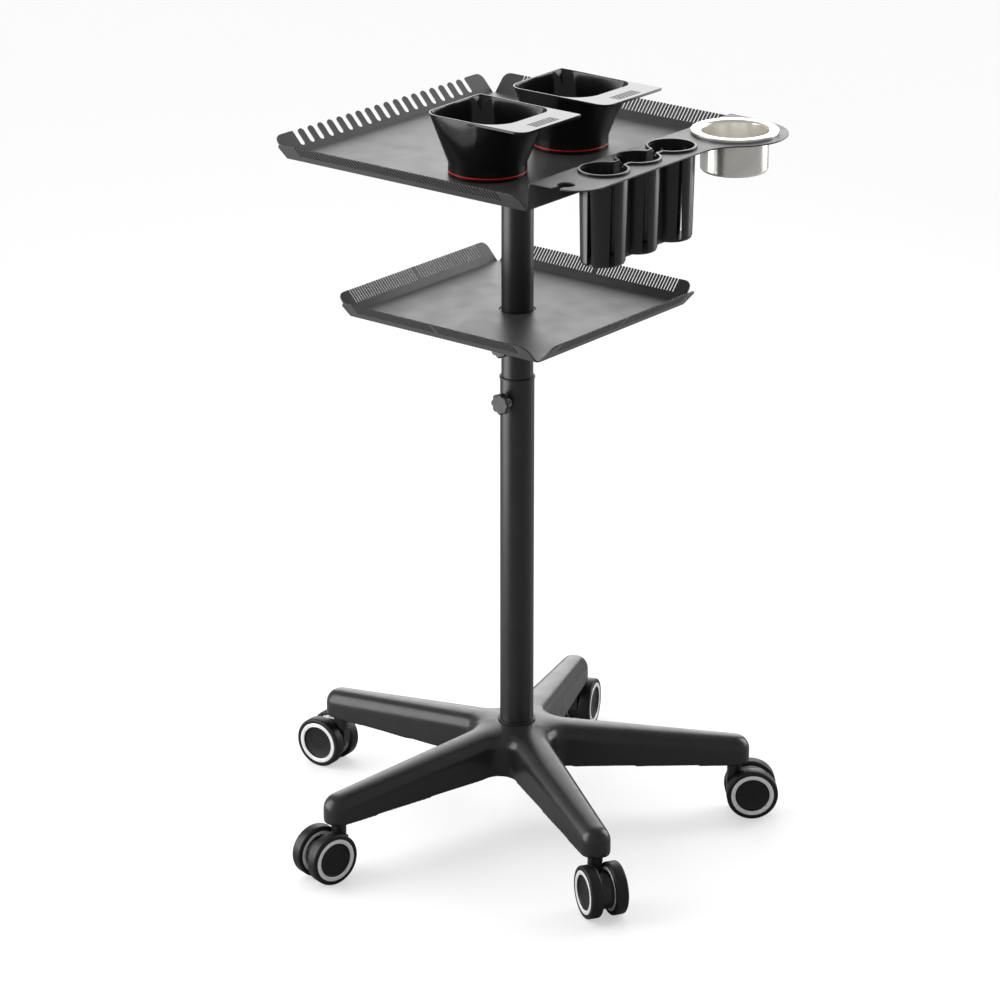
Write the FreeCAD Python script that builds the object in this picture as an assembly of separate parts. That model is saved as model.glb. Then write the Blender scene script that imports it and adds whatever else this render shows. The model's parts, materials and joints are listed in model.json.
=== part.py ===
"""Trolley cart: five-armed castor base, telescopic column, two folded trays with comb-cut rims, an
accessory shelf with a cup holder and a steel bowl, and two tint bowls.

Millimetres, +Z up, +X towards the accessory shelf, floor at Z = 0. Everything is built about the column's
axis and then moved so that the origin is the middle of the whole trolley's footprint.
Sections: sizes, helpers, base, castors, column, clamps, trays, shelf, accessories, export.
"""
import FreeCAD, Part

import math
import os

V = FreeCAD.Vector
UP = V(0, 0, 1)
FRONT = V(0, -1, 0)

# ---------------------------------------------------------------- sizes
# Clearances
fixed_gap = 0.04        # radial, between pieces pressed or glued together
running_gap = 0.08      # radial, between a pin and what turns on it
slide_gap = 0.3         # radial, between the two column tubes
loose_gap = 0.6         # between pieces that only pass each other

# Castors
castor_count = 5
wheel_dia = 60.0
wheel_width = 14.5
wheel_spacing = 14.8     # between the inner faces of a pair
tyre_thickness = 5.0
tyre_edge_radius = 3.4
rim_wall = 0.8
rim_face_width = 5.0
rim_face_thickness = 1.4
rim_back_width = 4.2     # the narrower ring on the wheel's inner face
dish_depth = 2.6
dish_centre_depth = 3.8
axle_dia = 6.0
axle_end_inset = 4.0    # from the outer face of the wheel to the end of the axle
trail = 20.0            # stem axis to axle axis
hood_web = 12.4
hood_disc_dia = 43.2
hood_step = 48.0        # height of the step in front of the neck
neck_dia = 17.0
stem_dia = 11.0
stem_pin_dia = 7.0
stem_engagement = 23.0  # up into the arm
stem_pin_length = 20.0
castor_headroom = 6.0   # top of the wheels to the underside of the base
stem_circle_radius = 254.0
first_arm_angle = -31.8

# Base star
arm_tip_width = 34.0
arm_root_width = 47.0
arm_root_radius = 34.0  # where the root width is measured
arm_tip_height = 32.0
hub_underside_rise = 5.0  # the arms' underside climbs this much towards the hub
hub_height = 56.5
hub_flat_radius = 24.0
crotch_radius = 20.0    # blend between neighbouring arms, in plan
top_edge_radius = 11.0
skin = 4.0              # wall of the hollow underside
pocket_cells = 2
pocket_start = 62.0     # distance from the column axis
pocket_end = 228.0
pocket_headroom = 9.0   # roof left over the pockets at the tip
socket_wall = 2.5
seat_height = 14.0      # underside of the base to the foot of the column
seat_thickness = 6.0
foot_bolt_dia = 10.0
foot_bolt_head_dia = 17.0
foot_bolt_head_height = 5.5
foot_washer_dia = 24.0
foot_washer_thickness = 1.6
foot_bolt_length = 26.0
foot_ring_width = 2.2
foot_ring_height = 1.8

# Column
lower_tube_dia = 38.6
lower_tube_wall = 1.0
lower_tube_length = 455.0
foot_plug_length = 24.0
top_ring_overhang = 0.9
top_ring_height = 1.6
mast_dia = 36.0
mast_wall = 1.5
mast_length = 591.0
mast_overlap = 330.0    # inside the lower tube at rest
guide_head = 4.0
guide_spigot = 18.0

# Clamps
clamp_drop = 24.5       # below the top of the lower tube
knob_dia = 22.0
knob_thickness = 8.4
knob_lobes = 8
flute_radius = 3.0
flute_depth = 1.6
knob_neck_dia = 12.0
knob_neck_length = 2.2
clamp_screw_dia = 8.0
clamp_screw_inset = 3.0
boss_dia = 13.0
boss_height = 2.6       # proud of the tube
pad_thickness = 1.7
pad_gap = 0.12          # pad face to mast at rest

# Trays
sheet = 1.5
bend_radius = 2.5       # inside radius of every fold
rim_lean = 47.0         # degrees from the horizontal
rim_slope_length = 26.4
rim_end_inset = 0.8     # rim ends stop short of the floor's corners
tab_corner_radius = 9.0
lower_floor = 262.0
upper_floor_x = 333.0
upper_floor_y = 360.0
upper_offset_x = -9.9   # tray centre from the column axis
tray_spacing = 183.0    # floor to floor at rest
mast_top_gap = 0.3
# comb rims: pitch, slot width, where the slots start up the slope, and the plain tab at each end
fine_pitch = 4.5
fine_slot = 2.0
fine_slot_start = 9.5
lower_pitch = 4.1
lower_slot = 1.9
upper_tab = 26.0
lower_tab = 16.5
coarse_pitch = 16.2
coarse_slot = 7.5
coarse_slot_start = 6.6
coarse_teeth = 18
middle_tooth = 5.0      # the lower tray's wider tooth in the middle of each rim

# Sockets under the trays
socket_flange_dia = 84.0
socket_flange_thickness = 2.5
upper_socket_length = 38.0
upper_socket_wall = 2.2
sleeve_dia = 43.0
sleeve_length = 48.0
liner_wall = 1.8
liner_length = 27.0
liner_recess = 0.8      # below the tray's floor
tray_clamp_height = 12.5  # above the foot of the sleeve

# Accessory shelf
shelf_height = 29.7     # over the tray's floor
shelf_width = 70.0
shelf_nose_radius = 32.0
notch_inset = 17.0      # notch centre from the near end
notch_from_wall = 34.6
notch_radius = 9.5
notch_throat = 8.0
notch_lip_radius = 2.0
bowl_ring_radius = 58.4
bowl_ring_from_wall = 50.4
bowl_ring_from_end = 61.6  # ring centre from the shelf's far end
ring_blend_radius = 60.0

# Brush holder
cup_pitch = 60.0
cup_count = 3
cup_bore_dia = 49.2
middle_cup_bore_dia = 45.2
cup_wall = 1.4
cup_depth = 100.2       # below the shelf's top
cup_taper = 2.0         # how much narrower in radius at the foot
cup_floor = 2.4
cup_foot_radius = 4.0
cup_neck = 11.0
neck_corner_radius = 3.5
cup_lip = 3.2           # rim width beyond the bore
cup_lip_height = 2.6
cup_lip_rounding = 0.9
cup_lip_step = 0.5      # the lip's opening is this much wider than the bores
cup_slits = 6
slit_foot_width = 6.6
slit_head_width = 3.6
slit_head = 7.0         # start of the slits below the shelf's top
slit_floor_bite = 1.6   # how far the slits notch the cups' floors
first_cup_from_end = 84.0
cups_from_wall = 32.8

# Steel bowl
steel_rim_dia = 96.8
steel_body_dia = 74.4
steel_mouth_radius = 3.8  # rounding between the wall and the flat rim
steel_depth = 46.0
steel_wall = 0.8
steel_rim_rise = 4.6
steel_rim_drop = 3.6
steel_foot_radius = 4.0
bowl_hole_gap = 1.6

# Tint bowls
tint_positions = ((33.0, -94.0), (33.0, 51.0))
tint_height = 68.4
tint_half = 50.5        # half the square mouth
tint_corner_radius = 18.0
tint_handle_corner_radius = 34.0  # the mouth's corner at the front of the handle
spout_radius = 4.0
spout_reach = 2.5       # beyond the square's corner
tint_foot_dia = 85.4
tint_wall = 2.2
tint_floor = 3.0
tint_waist_height = 13.0  # where the round foot ends and the square mouth begins to form
handle_reach = 88.0
handle_thickness = 3.0
handle_corner_radius = 13.0
handle_far_corner_radius = 2.5
band_height = 1.6
band_level = 3.4
band_depth = 0.9
band_proud = 0.3
grip_groove_count = 4
grip_groove_length = 26.0
grip_groove_width = 1.1
grip_groove_depth = 0.7
grip_groove_pitch = 3.6
grip_groove_stagger = 3.0
grip_centre = 75.0      # from the bowl's axis

# ---------------------------------------------------------------- levels and radii that follow
wheel_r = wheel_dia / 2
star_bottom = wheel_dia + castor_headroom
star_tip_top = star_bottom + arm_tip_height
hub_top = star_bottom + hub_height
hub_underside = star_bottom + hub_underside_rise
tube_foot = hub_underside + seat_height
tube_top = tube_foot + lower_tube_length
tube_r = lower_tube_dia / 2
tube_bore_r = tube_r - lower_tube_wall
mast_r = mast_dia / 2
mast_foot = tube_top - mast_overlap
mast_top = mast_foot + mast_length
upper_floor_z = mast_top + mast_top_gap + sheet
lower_floor_z = upper_floor_z - tray_spacing
sleeve_foot = lower_floor_z - sheet - sleeve_length
shelf_top = upper_floor_z + shelf_height
wall_x = upper_offset_x + upper_floor_x / 2
shelf_near_y = -upper_floor_y / 2 + rim_end_inset
shelf_far_y = upper_floor_y / 2 - rim_end_inset
column_clamp_z = tube_top - clamp_drop
tray_clamp_z = sleeve_foot + tray_clamp_height


# ---------------------------------------------------------------- helpers
def cylinder(radius, height, centre=V(0, 0, 0), axis=UP):
    """A cylinder that starts at centre and runs height along axis."""
    return Part.makeCylinder(radius, height, centre, axis)


def ring(outer, inner, height, centre=V(0, 0, 0), axis=UP):
    """A tube: outer and inner are radii. The bore is cut from past both ends."""
    bore_start = centre - axis * 1.0
    return cylinder(outer, height, centre, axis).cut(cylinder(inner, height + 2, bore_start, axis))


def block(x0, x1, y0, y1, z0, z1):
    """A box between two corners."""
    return Part.makeBox(x1 - x0, y1 - y0, z1 - z0, V(x0, y0, z0))


def turned(profile):
    """A solid of revolution about Z from (radius, height) points joined by straight lines."""
    points = [V(r, 0, z) for r, z in profile]
    face = Part.Face(Part.makePolygon(points + points[:1]))
    return face.revolve(V(0, 0, 0), UP, 360)


def placed(shape, angle=0.0, shift=V(0, 0, 0)):
    """A copy turned about the Z axis by angle degrees and then moved by shift."""
    copy = shape.copy()
    copy.rotate(V(0, 0, 0), UP, angle)
    copy.translate(shift)
    return copy


def aimed(shape, direction, shift):
    """A copy whose Z axis points along direction, moved by shift."""
    copy = shape.copy()
    copy.Placement = FreeCAD.Placement(shift, FreeCAD.Rotation(UP, direction))
    return copy


def polar(radius, degrees, z=0.0):
    """A point at a radius and an angle about the Z axis."""
    angle = math.radians(degrees)
    return V(radius * math.cos(angle), radius * math.sin(angle), z)


def arc(centre, radius, start, end, z=0.0):
    """An arc edge in a level plane from the start angle to the end angle, in degrees."""
    middle = (start + end) / 2
    first, half, last = (V(centre[0], centre[1], z) + polar(radius, a) for a in (start, middle, end))
    return Part.Arc(first, half, last).toShape()


def line(a, b):
    """A straight edge."""
    return Part.LineSegment(a, b).toShape()


def joined_edges(edges):
    """One closed wire from arcs in order, with straight edges drawn across the gaps between them."""
    chain = []
    for i, edge in enumerate(edges):
        chain.append(edge)
        end = edge.lastVertex(True).Point
        start = edges[(i + 1) % len(edges)].firstVertex(True).Point
        if end.distanceToPoint(start) > 1e-6:
            chain.append(line(end, start))
    return Part.Wire(chain)


def one_solid(first, *others):
    """Everything fused, with flush faces merged."""
    shape = first.multiFuse(list(others)) if others else first
    return shape.removeSplitter()


# ---------------------------------------------------------------- base
def arm_angles():
    """The direction of each arm, in degrees from +X."""
    return [first_arm_angle + 360 / castor_count * i for i in range(castor_count)]


def star_plan():
    """The star's outline: round tips, straight tapering sides and a blend between neighbours."""
    tip = arm_tip_width / 2
    run = stem_circle_radius - arm_root_radius
    taper = math.degrees(math.asin((arm_root_width / 2 - tip) / run))
    half = 180 / castor_count
    # Both sides of the gap between two arms are tangent to the blend, whose centre is on the gap's middle line.
    side_offset = tip / math.cos(math.radians(taper)) + stem_circle_radius * math.tan(math.radians(taper))
    to_side = half + taper
    reach = (side_offset * math.cos(math.radians(taper)) + crotch_radius) / math.sin(math.radians(to_side))
    edges = []
    for angle in arm_angles():
        tip_centre = polar(stem_circle_radius, angle)
        edges.append(arc(tip_centre, tip, angle - 90 + taper, angle + 90 - taper))
        gap = angle + half
        crotch = polar(reach, gap)
        edges.append(arc(crotch, crotch_radius, gap + 180 + (90 - to_side), gap + 180 - (90 - to_side)))
    return joined_edges(edges)


def base_star():
    """Hub and five arms under a shallow cone, rounded on top, hollow underneath, bored for the column."""
    outer = stem_circle_radius + arm_tip_width
    blank = Part.Face(star_plan()).extrude(V(0, 0, hub_height + 1))
    blank.translate(V(0, 0, star_bottom))
    slope = (hub_top - star_tip_top) / (stem_circle_radius - hub_flat_radius)
    edge_top = hub_top - slope * (outer - hub_flat_radius)
    flat_start = stem_circle_radius - arm_tip_width / 2
    cover = turned(((0, hub_underside), (arm_root_radius, hub_underside), (flat_start, star_bottom),
                    (outer, star_bottom), (outer, edge_top), (hub_flat_radius, hub_top), (0, hub_top)))
    star = blank.common(cover)
    rounded = [e for e in star.Edges if is_top_outline(e)]
    star = star.makeFillet(top_edge_radius, rounded)
    for angle in arm_angles():
        star = star.cut(placed(arm_pockets(), angle))
        stem_bore = cylinder(stem_dia / 2 + socket_wall, stem_engagement + 1, V(0, 0, star_bottom - 1))
        star = star.cut(placed(stem_bore, 0, polar(stem_circle_radius, angle)))
    column_bore = cylinder(tube_r + fixed_gap, hub_top, V(0, 0, tube_foot))
    bolt_bore = cylinder(foot_bolt_dia / 2 + loose_gap, hub_top, V(0, 0, star_bottom - 1))
    recess_top = tube_foot - seat_thickness
    head_recess = cylinder(foot_washer_dia / 2 + loose_gap, recess_top - star_bottom + 1,
                           V(0, 0, star_bottom - 1))
    return star.cut(column_bore).cut(bolt_bore).cut(head_recess)


def is_top_outline(edge):
    """True for an edge where the arms' upright sides meet the top."""
    middle = edge.valueAt((edge.FirstParameter + edge.LastParameter) / 2)
    box = edge.BoundBox
    upright = box.ZLength > 0.6 * hub_height
    inside = math.hypot(middle.x, middle.y) < hub_flat_radius + 1
    return box.ZMin > hub_underside + 1 and not upright and not inside


def arm_pockets():
    """The cells that hollow an arm lying along +X from below."""
    length = (pocket_end - pocket_start - skin * (pocket_cells - 1)) / pocket_cells
    roof = star_tip_top - pocket_headroom
    cells = []
    for i in range(pocket_cells):
        x0 = pocket_start + i * (length + skin)
        corners = []
        for x in (x0, x0 + length):
            share = (x - arm_root_radius) / (stem_circle_radius - arm_root_radius)
            half = (arm_root_width + (arm_tip_width - arm_root_width) * share) / 2 - skin
            corners.append((x, half))
        (xa, ya), (xb, yb) = corners
        outline = [V(xa, -ya, 0), V(xb, -yb, 0), V(xb, yb, 0), V(xa, ya, 0), V(xa, -ya, 0)]
        cell = Part.Face(Part.makePolygon(outline)).extrude(V(0, 0, roof - star_bottom + 1))
        cell.translate(V(0, 0, star_bottom - 1))
        cells.append(cell)
    return Part.makeCompound(cells)


def castor_sockets():
    """Plastic sleeves in the arm tips."""
    sleeve = ring(stem_dia / 2 + socket_wall - fixed_gap, stem_dia / 2 + fixed_gap, stem_engagement - fixed_gap,
                  V(0, 0, star_bottom))
    return Part.makeCompound([placed(sleeve, 0, polar(stem_circle_radius, a)) for a in arm_angles()])


def castor_stems():
    """Steel stems, gripped in the arms, with the thinner pin that the castor turns on."""
    shoulder = star_bottom - castor_headroom
    stem = cylinder(stem_dia / 2, castor_headroom + stem_engagement - loose_gap, V(0, 0, shoulder))
    pin = cylinder(stem_pin_dia / 2, stem_pin_length, V(0, 0, shoulder - stem_pin_length))
    whole = one_solid(stem, pin)
    return Part.makeCompound([placed(whole, 0, polar(stem_circle_radius, a)) for a in arm_angles()])


def column_foot_bolt():
    """The bolt that draws the column into the hub, and its washer."""
    web_bottom = tube_foot - seat_thickness
    washer = ring(foot_washer_dia / 2, foot_bolt_dia / 2 + fixed_gap, foot_washer_thickness,
                  V(0, 0, web_bottom - foot_washer_thickness))
    head_top = web_bottom - foot_washer_thickness
    sides = [polar(foot_bolt_head_dia / 2, 60 * i, head_top - foot_bolt_head_height) for i in range(7)]
    head = Part.Face(Part.makePolygon(sides)).extrude(V(0, 0, foot_bolt_head_height))
    shank = cylinder(foot_bolt_dia / 2, foot_bolt_length, V(0, 0, head_top))
    return Part.makeCompound([one_solid(head, shank), washer])


def column_foot_ring():
    """Trim ring on the hub, round the tube."""
    return ring(tube_r + foot_ring_width, tube_r + fixed_gap, foot_ring_height, V(0, 0, hub_top))


# ---------------------------------------------------------------- castors
def castor_hood():
    """The housing between the wheels, with the neck that turns on the stem. The axle is at +X from the stem."""
    half = hood_web / 2
    web = cylinder(hood_disc_dia / 2, hood_web, V(trail, half, wheel_r), FRONT)
    web = web.common(block(-trail, trail + hood_disc_dia, -half, half, 0, hood_step))
    neck_top = star_bottom - slide_gap
    neck = cylinder(neck_dia / 2, neck_top - wheel_r, V(0, 0, wheel_r))
    bridge = block(-neck_dia / 2, trail, -half, half, wheel_r, hood_step)
    hood = one_solid(neck, web, bridge)
    for side in (-1, 1):
        start = V(trail, side * half, wheel_r)
        room = cylinder(wheel_r + loose_gap, wheel_width + wheel_spacing, start, V(0, side, 0))
        hood = hood.cut(room)
    shoulder = star_bottom - castor_headroom
    pin_bore = cylinder(stem_pin_dia / 2 + running_gap, stem_pin_length + 1 + slide_gap,
                        V(0, 0, shoulder - stem_pin_length - slide_gap))
    stem_bore = cylinder(stem_dia / 2 + running_gap, castor_headroom + 1, V(0, 0, shoulder - slide_gap))
    axle_bore = cylinder(axle_dia / 2 + fixed_gap, hood_web + 2, V(trail, half + 1, wheel_r), FRONT)
    hood = hood.cut(pin_bore).cut(stem_bore).cut(axle_bore)
    return max(hood.Solids, key=lambda s: s.Volume)


def castor_axle():
    """Steel pin through the hood, with a wheel on each end."""
    half = wheel_spacing / 2 + wheel_width - axle_end_inset - slide_gap
    return cylinder(axle_dia / 2, 2 * half, V(trail, half, wheel_r), FRONT)


def wheel_core():
    """The wheel's middle: inside face at Z = 0, dished outside face, blind bore for the axle."""
    outer = wheel_r - tyre_thickness - rim_wall - 2 * fixed_gap
    dish = outer + rim_wall - rim_face_width - fixed_gap
    shoulder = wheel_width - rim_face_thickness - fixed_gap
    bore = axle_dia / 2 + running_gap
    bore_end = wheel_width - axle_end_inset
    back = outer + rim_wall - rim_back_width - fixed_gap
    step = rim_face_thickness + fixed_gap
    return turned(((bore, 0), (back, 0), (back, step), (outer, step), (outer, shoulder), (dish, shoulder),
                   (dish, wheel_width - dish_depth),
                   (dish * 0.5, wheel_width - dish_centre_depth + 0.3),
                   (0, wheel_width - dish_centre_depth + 0.1), (0, bore_end), (bore, bore_end)))


def tyre():
    """The tread, with rounded edges."""
    blank = ring(wheel_r, wheel_r - tyre_thickness, wheel_width)
    edges = [e for e in blank.Edges if e.BoundBox.XLength > wheel_dia - 1 and abs(e.BoundBox.ZLength) < 1e-3]
    return blank.makeFillet(tyre_edge_radius, edges)


def wheel_rim():
    """The silver trim: a sleeve between core and tyre, with a broad ring outside and a narrower one inside."""
    outer = wheel_r - tyre_thickness - fixed_gap
    inner = outer - rim_wall
    face_inner = outer - rim_face_width
    face_back = wheel_width - rim_face_thickness
    back_inner = outer - rim_back_width
    return turned(((back_inner, 0), (outer, 0), (outer, wheel_width), (face_inner, wheel_width),
                   (face_inner, face_back), (inner, face_back), (inner, rim_face_thickness),
                   (back_inner, rim_face_thickness)))


def castor_pieces():
    """Every castor's pieces by node name, each turned to trail outward along its arm."""
    hood, axle = castor_hood(), castor_axle()
    wheel = Part.makeCompound([wheel_core(), tyre()])
    rim = wheel_rim()
    pieces = {}
    for i, angle in enumerate(arm_angles()):
        name = f"castor_{i + 1}"
        stem = polar(stem_circle_radius, angle)
        pieces[f"{name}_hood"] = placed(hood, angle, stem)
        pieces[f"{name}_axle"] = placed(axle, angle, stem)
        for side, sign in (("left", 1), ("right", -1)):
            inner_face = V(trail, sign * wheel_spacing / 2, wheel_r)
            for part, shape in (("wheel", wheel), ("rim", rim)):
                upright = aimed(shape, V(0, sign, 0), inner_face)
                pieces[f"{name}_{part}_{side}"] = placed(upright, angle, stem)
    return pieces


# ---------------------------------------------------------------- column
def lower_column_tube():
    """Outer tube with its welded foot plug and the hole for the clamp's boss."""
    tube = ring(tube_r, tube_bore_r, lower_tube_length, V(0, 0, tube_foot))
    plug = ring(tube_bore_r, foot_bolt_dia / 2 + fixed_gap, foot_plug_length, V(0, 0, tube_foot))
    hole = cylinder(boss_dia / 2 + fixed_gap, tube_r, V(0, 0, column_clamp_z), FRONT)
    return one_solid(tube, plug).cut(hole)


def column_top_ring():
    """Wiper ring on the top of the lower tube; the mast runs through it."""
    return ring(tube_r + top_ring_overhang, mast_r + running_gap, top_ring_height, V(0, 0, tube_top))


def upper_column_tube():
    """The mast."""
    return ring(mast_r, mast_r - mast_wall, mast_length, V(0, 0, mast_foot))


def mast_guide():
    """Guide under the mast: its head runs in the lower tube and the mast turns on its spigot."""
    head = cylinder(tube_bore_r - running_gap, guide_head, V(0, 0, mast_foot - guide_head))
    spigot = cylinder(mast_r - mast_wall - running_gap, guide_spigot, V(0, 0, mast_foot))
    bore = cylinder(mast_r - mast_wall - running_gap - 3, guide_head + guide_spigot + 2,
                    V(0, 0, mast_foot - guide_head - 1))
    return one_solid(head, spigot).cut(bore)


def upper_tray_socket():
    """Flanged socket welded under the upper tray; the mast's top is fixed in it."""
    under = upper_floor_z - sheet
    flange = cylinder(socket_flange_dia / 2, socket_flange_thickness, V(0, 0, under - socket_flange_thickness))
    sleeve = cylinder(mast_r + upper_socket_wall, upper_socket_length, V(0, 0, under - upper_socket_length))
    bore = cylinder(mast_r + fixed_gap, upper_socket_length + 2, V(0, 0, under - upper_socket_length - 1))
    return one_solid(flange, sleeve).cut(bore)


def lower_tray_sleeve():
    """Flanged sleeve welded under the lower tray: counterbored for the liner, cross-bored for the clamp."""
    under = lower_floor_z - sheet
    flange = cylinder(socket_flange_dia / 2, socket_flange_thickness, V(0, 0, under - socket_flange_thickness))
    body = cylinder(sleeve_dia / 2, sleeve_length, V(0, 0, sleeve_foot))
    bore = cylinder(mast_r + slide_gap, sleeve_length + 2, V(0, 0, sleeve_foot - 1))
    liner_foot = lower_floor_z - liner_recess - liner_length
    counterbore = cylinder(mast_r + liner_wall + running_gap, liner_length + 2, V(0, 0, liner_foot - running_gap))
    hole = cylinder(boss_dia / 2 + fixed_gap, sleeve_dia, V(0, 0, tray_clamp_z), FRONT)
    return one_solid(flange, body).cut(bore).cut(counterbore).cut(hole)


def lower_tray_liner():
    """Plastic liner in the sleeve's counterbore, running on the mast."""
    return ring(mast_r + liner_wall, mast_r + running_gap, liner_length,
                V(0, 0, lower_floor_z - liner_recess - liner_length))


# ---------------------------------------------------------------- clamps
def clamp_insert(carrier_r, inner_r, z):
    """Threaded boss set in a wall of outside radius carrier_r, its inner end at inner_r. It points to the front."""
    length = carrier_r + boss_height - inner_r
    return ring(boss_dia / 2, clamp_screw_dia / 2 + running_gap, length, FRONT * inner_r + V(0, 0, z), FRONT)


def clamp_pad(z):
    """The soft pad on the screw's end, just off the mast."""
    start = mast_r + pad_gap
    return cylinder(clamp_screw_dia / 2 - fixed_gap, pad_thickness, FRONT * start + V(0, 0, z), FRONT)


def clamp_screw(carrier_r, z):
    """The screw from the pad into the knob."""
    start = mast_r + pad_gap + pad_thickness
    end = carrier_r + boss_height + knob_neck_length + knob_thickness - clamp_screw_inset
    return cylinder(clamp_screw_dia / 2, end - start, FRONT * start + V(0, 0, z), FRONT)


def clamp_knob(carrier_r, z):
    """Lobed knob with a neck towards the boss and a blind bore for the screw."""
    neck = cylinder(knob_neck_dia / 2, knob_neck_length)
    head = cylinder(knob_dia / 2, knob_thickness, V(0, 0, knob_neck_length))
    edges = [e for e in head.Edges if abs(e.BoundBox.ZLength) < 1e-3]
    head = head.makeChamfer(0.8, edges)
    for i in range(knob_lobes):
        centre = polar(knob_dia / 2 + flute_radius - flute_depth, 360 / knob_lobes * (i + 0.5))
        head = head.cut(cylinder(flute_radius, knob_neck_length + knob_thickness + 1, centre))
    bore_depth = knob_neck_length + knob_thickness - clamp_screw_inset
    bore = cylinder(clamp_screw_dia / 2 + fixed_gap, bore_depth + 1 + fixed_gap, V(0, 0, -1))
    knob = one_solid(neck, head).cut(bore)
    start = carrier_r + boss_height + slide_gap
    return aimed(knob, FRONT, FRONT * start + V(0, 0, z))


# ---------------------------------------------------------------- trays
def rim_fold():
    """The fold's cross-section angles and where the flat rim starts: (lean in radians, out, up)."""
    lean = math.radians(rim_lean)
    return lean, bend_radius * math.sin(lean), bend_radius * (1 - math.cos(lean))


def folded_strip(length):
    """The fold alone, from the floor's edge at X = 0, top face at Z = 0, centred on Y."""
    section = [V(0, 0, 0), V(0, 0, -sheet)]
    bent = Part.Face(Part.makePolygon([section[0], section[1], section[1] + V(0, length, 0),
                                       section[0] + V(0, length, 0), section[0]]))
    strip = bent.revolve(V(0, 0, bend_radius), V(0, -1, 0), rim_lean)
    strip.translate(V(0, -length / 2, 0))
    return strip


def rim_outline(length, slots):
    """The flat rim's outline from (position, width, start, tip radius left, tip radius right) slots.

    X runs along the edge and Y up the slope. A tip radius of 0 leaves a square tooth.
    """
    top = rim_slope_length
    r = tab_corner_radius
    edges = [arc((-length / 2 + r, top - r), r, 180, 90)]
    for position, width, start, left_r, right_r in slots:
        x0, x1 = position - width / 2, position + width / 2
        if left_r:
            edges.append(arc((x0 - left_r, top - left_r), left_r, 90, 0))
            edges.append(arc((position, start + width / 2), width / 2, 180, 360))
            edges.append(arc((x1 + right_r, top - right_r), right_r, 180, 90))
        else:
            corners = (V(x0, top, 0), V(x0, start, 0), V(x1, start, 0), V(x1, top, 0))
            edges += [line(a, b) for a, b in zip(corners, corners[1:])]
    edges.append(arc((length / 2 - r, top - r), r, 90, 0))
    edges.append(line(V(length / 2, 0, 0), V(-length / 2, 0, 0)))
    return joined_edges(edges)


def rim(length, slots):
    """One folded rim: canonical position, floor's edge at X = 0, leaning out towards +X."""
    lean, out, up = rim_fold()
    flat = Part.Face(rim_outline(length, slots)).extrude(V(0, 0, -sheet))
    # The outline's X goes along +Y, its Y up the slope and its Z along the sheet's upper normal.
    slope, normal = V(math.cos(lean), 0, math.sin(lean)), V(-math.sin(lean), 0, math.cos(lean))
    flat.Placement = FreeCAD.Placement(FreeCAD.Matrix(0, slope.x, normal.x, out, -1, 0, 0, 0,
                                                      0, slope.z, normal.z, up, 0, 0, 0, 1))
    return folded_strip(length).fuse(flat)


def fine_slots(length, tab, pitch, width, start, middle=0.0):
    """Slots of a fine comb between the two end tabs, with a wider tooth in the middle if it's given."""
    span = length - 2 * tab - middle
    count = int(span / 2 // pitch)
    slots = []
    for i in range(count):
        offset = middle / 2 + pitch * (i + 0.5)
        slots += [(-offset, width, start, 0, 0), (offset, width, start, 0, 0)]
    return sorted(slots)


def coarse_slots():
    """Wide slots between round-tipped teeth; the teeth beside the tabs are rounded less."""
    tooth_r = (coarse_pitch - coarse_slot) / 2
    tab_r = tooth_r / 2
    slots = []
    for i in range(coarse_teeth + 1):
        position = (i - coarse_teeth / 2) * coarse_pitch
        left_r = tab_r if i == 0 else tooth_r
        right_r = tab_r if i == coarse_teeth else tooth_r
        slots.append((position, coarse_slot, coarse_slot_start, left_r, right_r))
    return slots


def lower_tray():
    """Square floor with a fine comb rim on every side and a hole for the mast."""
    half = lower_floor / 2
    length = lower_floor - 2 * rim_end_inset
    floor = block(-half, half, -half, half, -sheet, 0)
    side = rim(length, fine_slots(length, lower_tab, lower_pitch, lower_slot, fine_slot_start, middle_tooth))
    rims = [placed(side, 90 * i, polar(half, 90 * i)) for i in range(4)]
    tray = one_solid(floor, *rims)
    hole_r = mast_r + liner_wall + loose_gap
    tray = tray.cut(cylinder(hole_r, 3 * sheet, V(0, 0, -2 * sheet)))
    return placed(tray, 0, V(0, 0, lower_floor_z))


def raised_wall():
    """The tray's fourth side: folded upright and then outward, up to where the flat shelf starts."""
    length = shelf_far_y - shelf_near_y
    outer_bend = bend_radius + sheet
    top = shelf_height
    flat_start = -outer_bend
    inner, outer = -sheet, 0
    section = [line(V(flat_start, 0, 0), V(flat_start, 0, -sheet)),
               arc_xz(flat_start, bend_radius, outer_bend, -90, 0),
               line(V(outer, 0, bend_radius), V(outer, 0, top - outer_bend)),
               arc_xz(bend_radius, top - outer_bend, bend_radius, 180, 90),
               line(V(bend_radius, 0, top - sheet), V(bend_radius, 0, top)),
               arc_xz(bend_radius, top - outer_bend, outer_bend, 90, 180),
               line(V(inner, 0, top - outer_bend), V(inner, 0, bend_radius)),
               arc_xz(flat_start, bend_radius, bend_radius, 0, -90)]
    wall = Part.Face(Part.Wire(section)).extrude(V(0, length, 0))
    wall.translate(V(0, -length / 2, 0))
    return wall


def arc_xz(x, z, radius, start, end):
    """An arc edge in the XZ plane."""
    points = []
    for degrees in (start, (start + end) / 2, end):
        angle = math.radians(degrees)
        points.append(V(x + radius * math.cos(angle), 0, z + radius * math.sin(angle)))
    return Part.Arc(*points).toShape()


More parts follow.
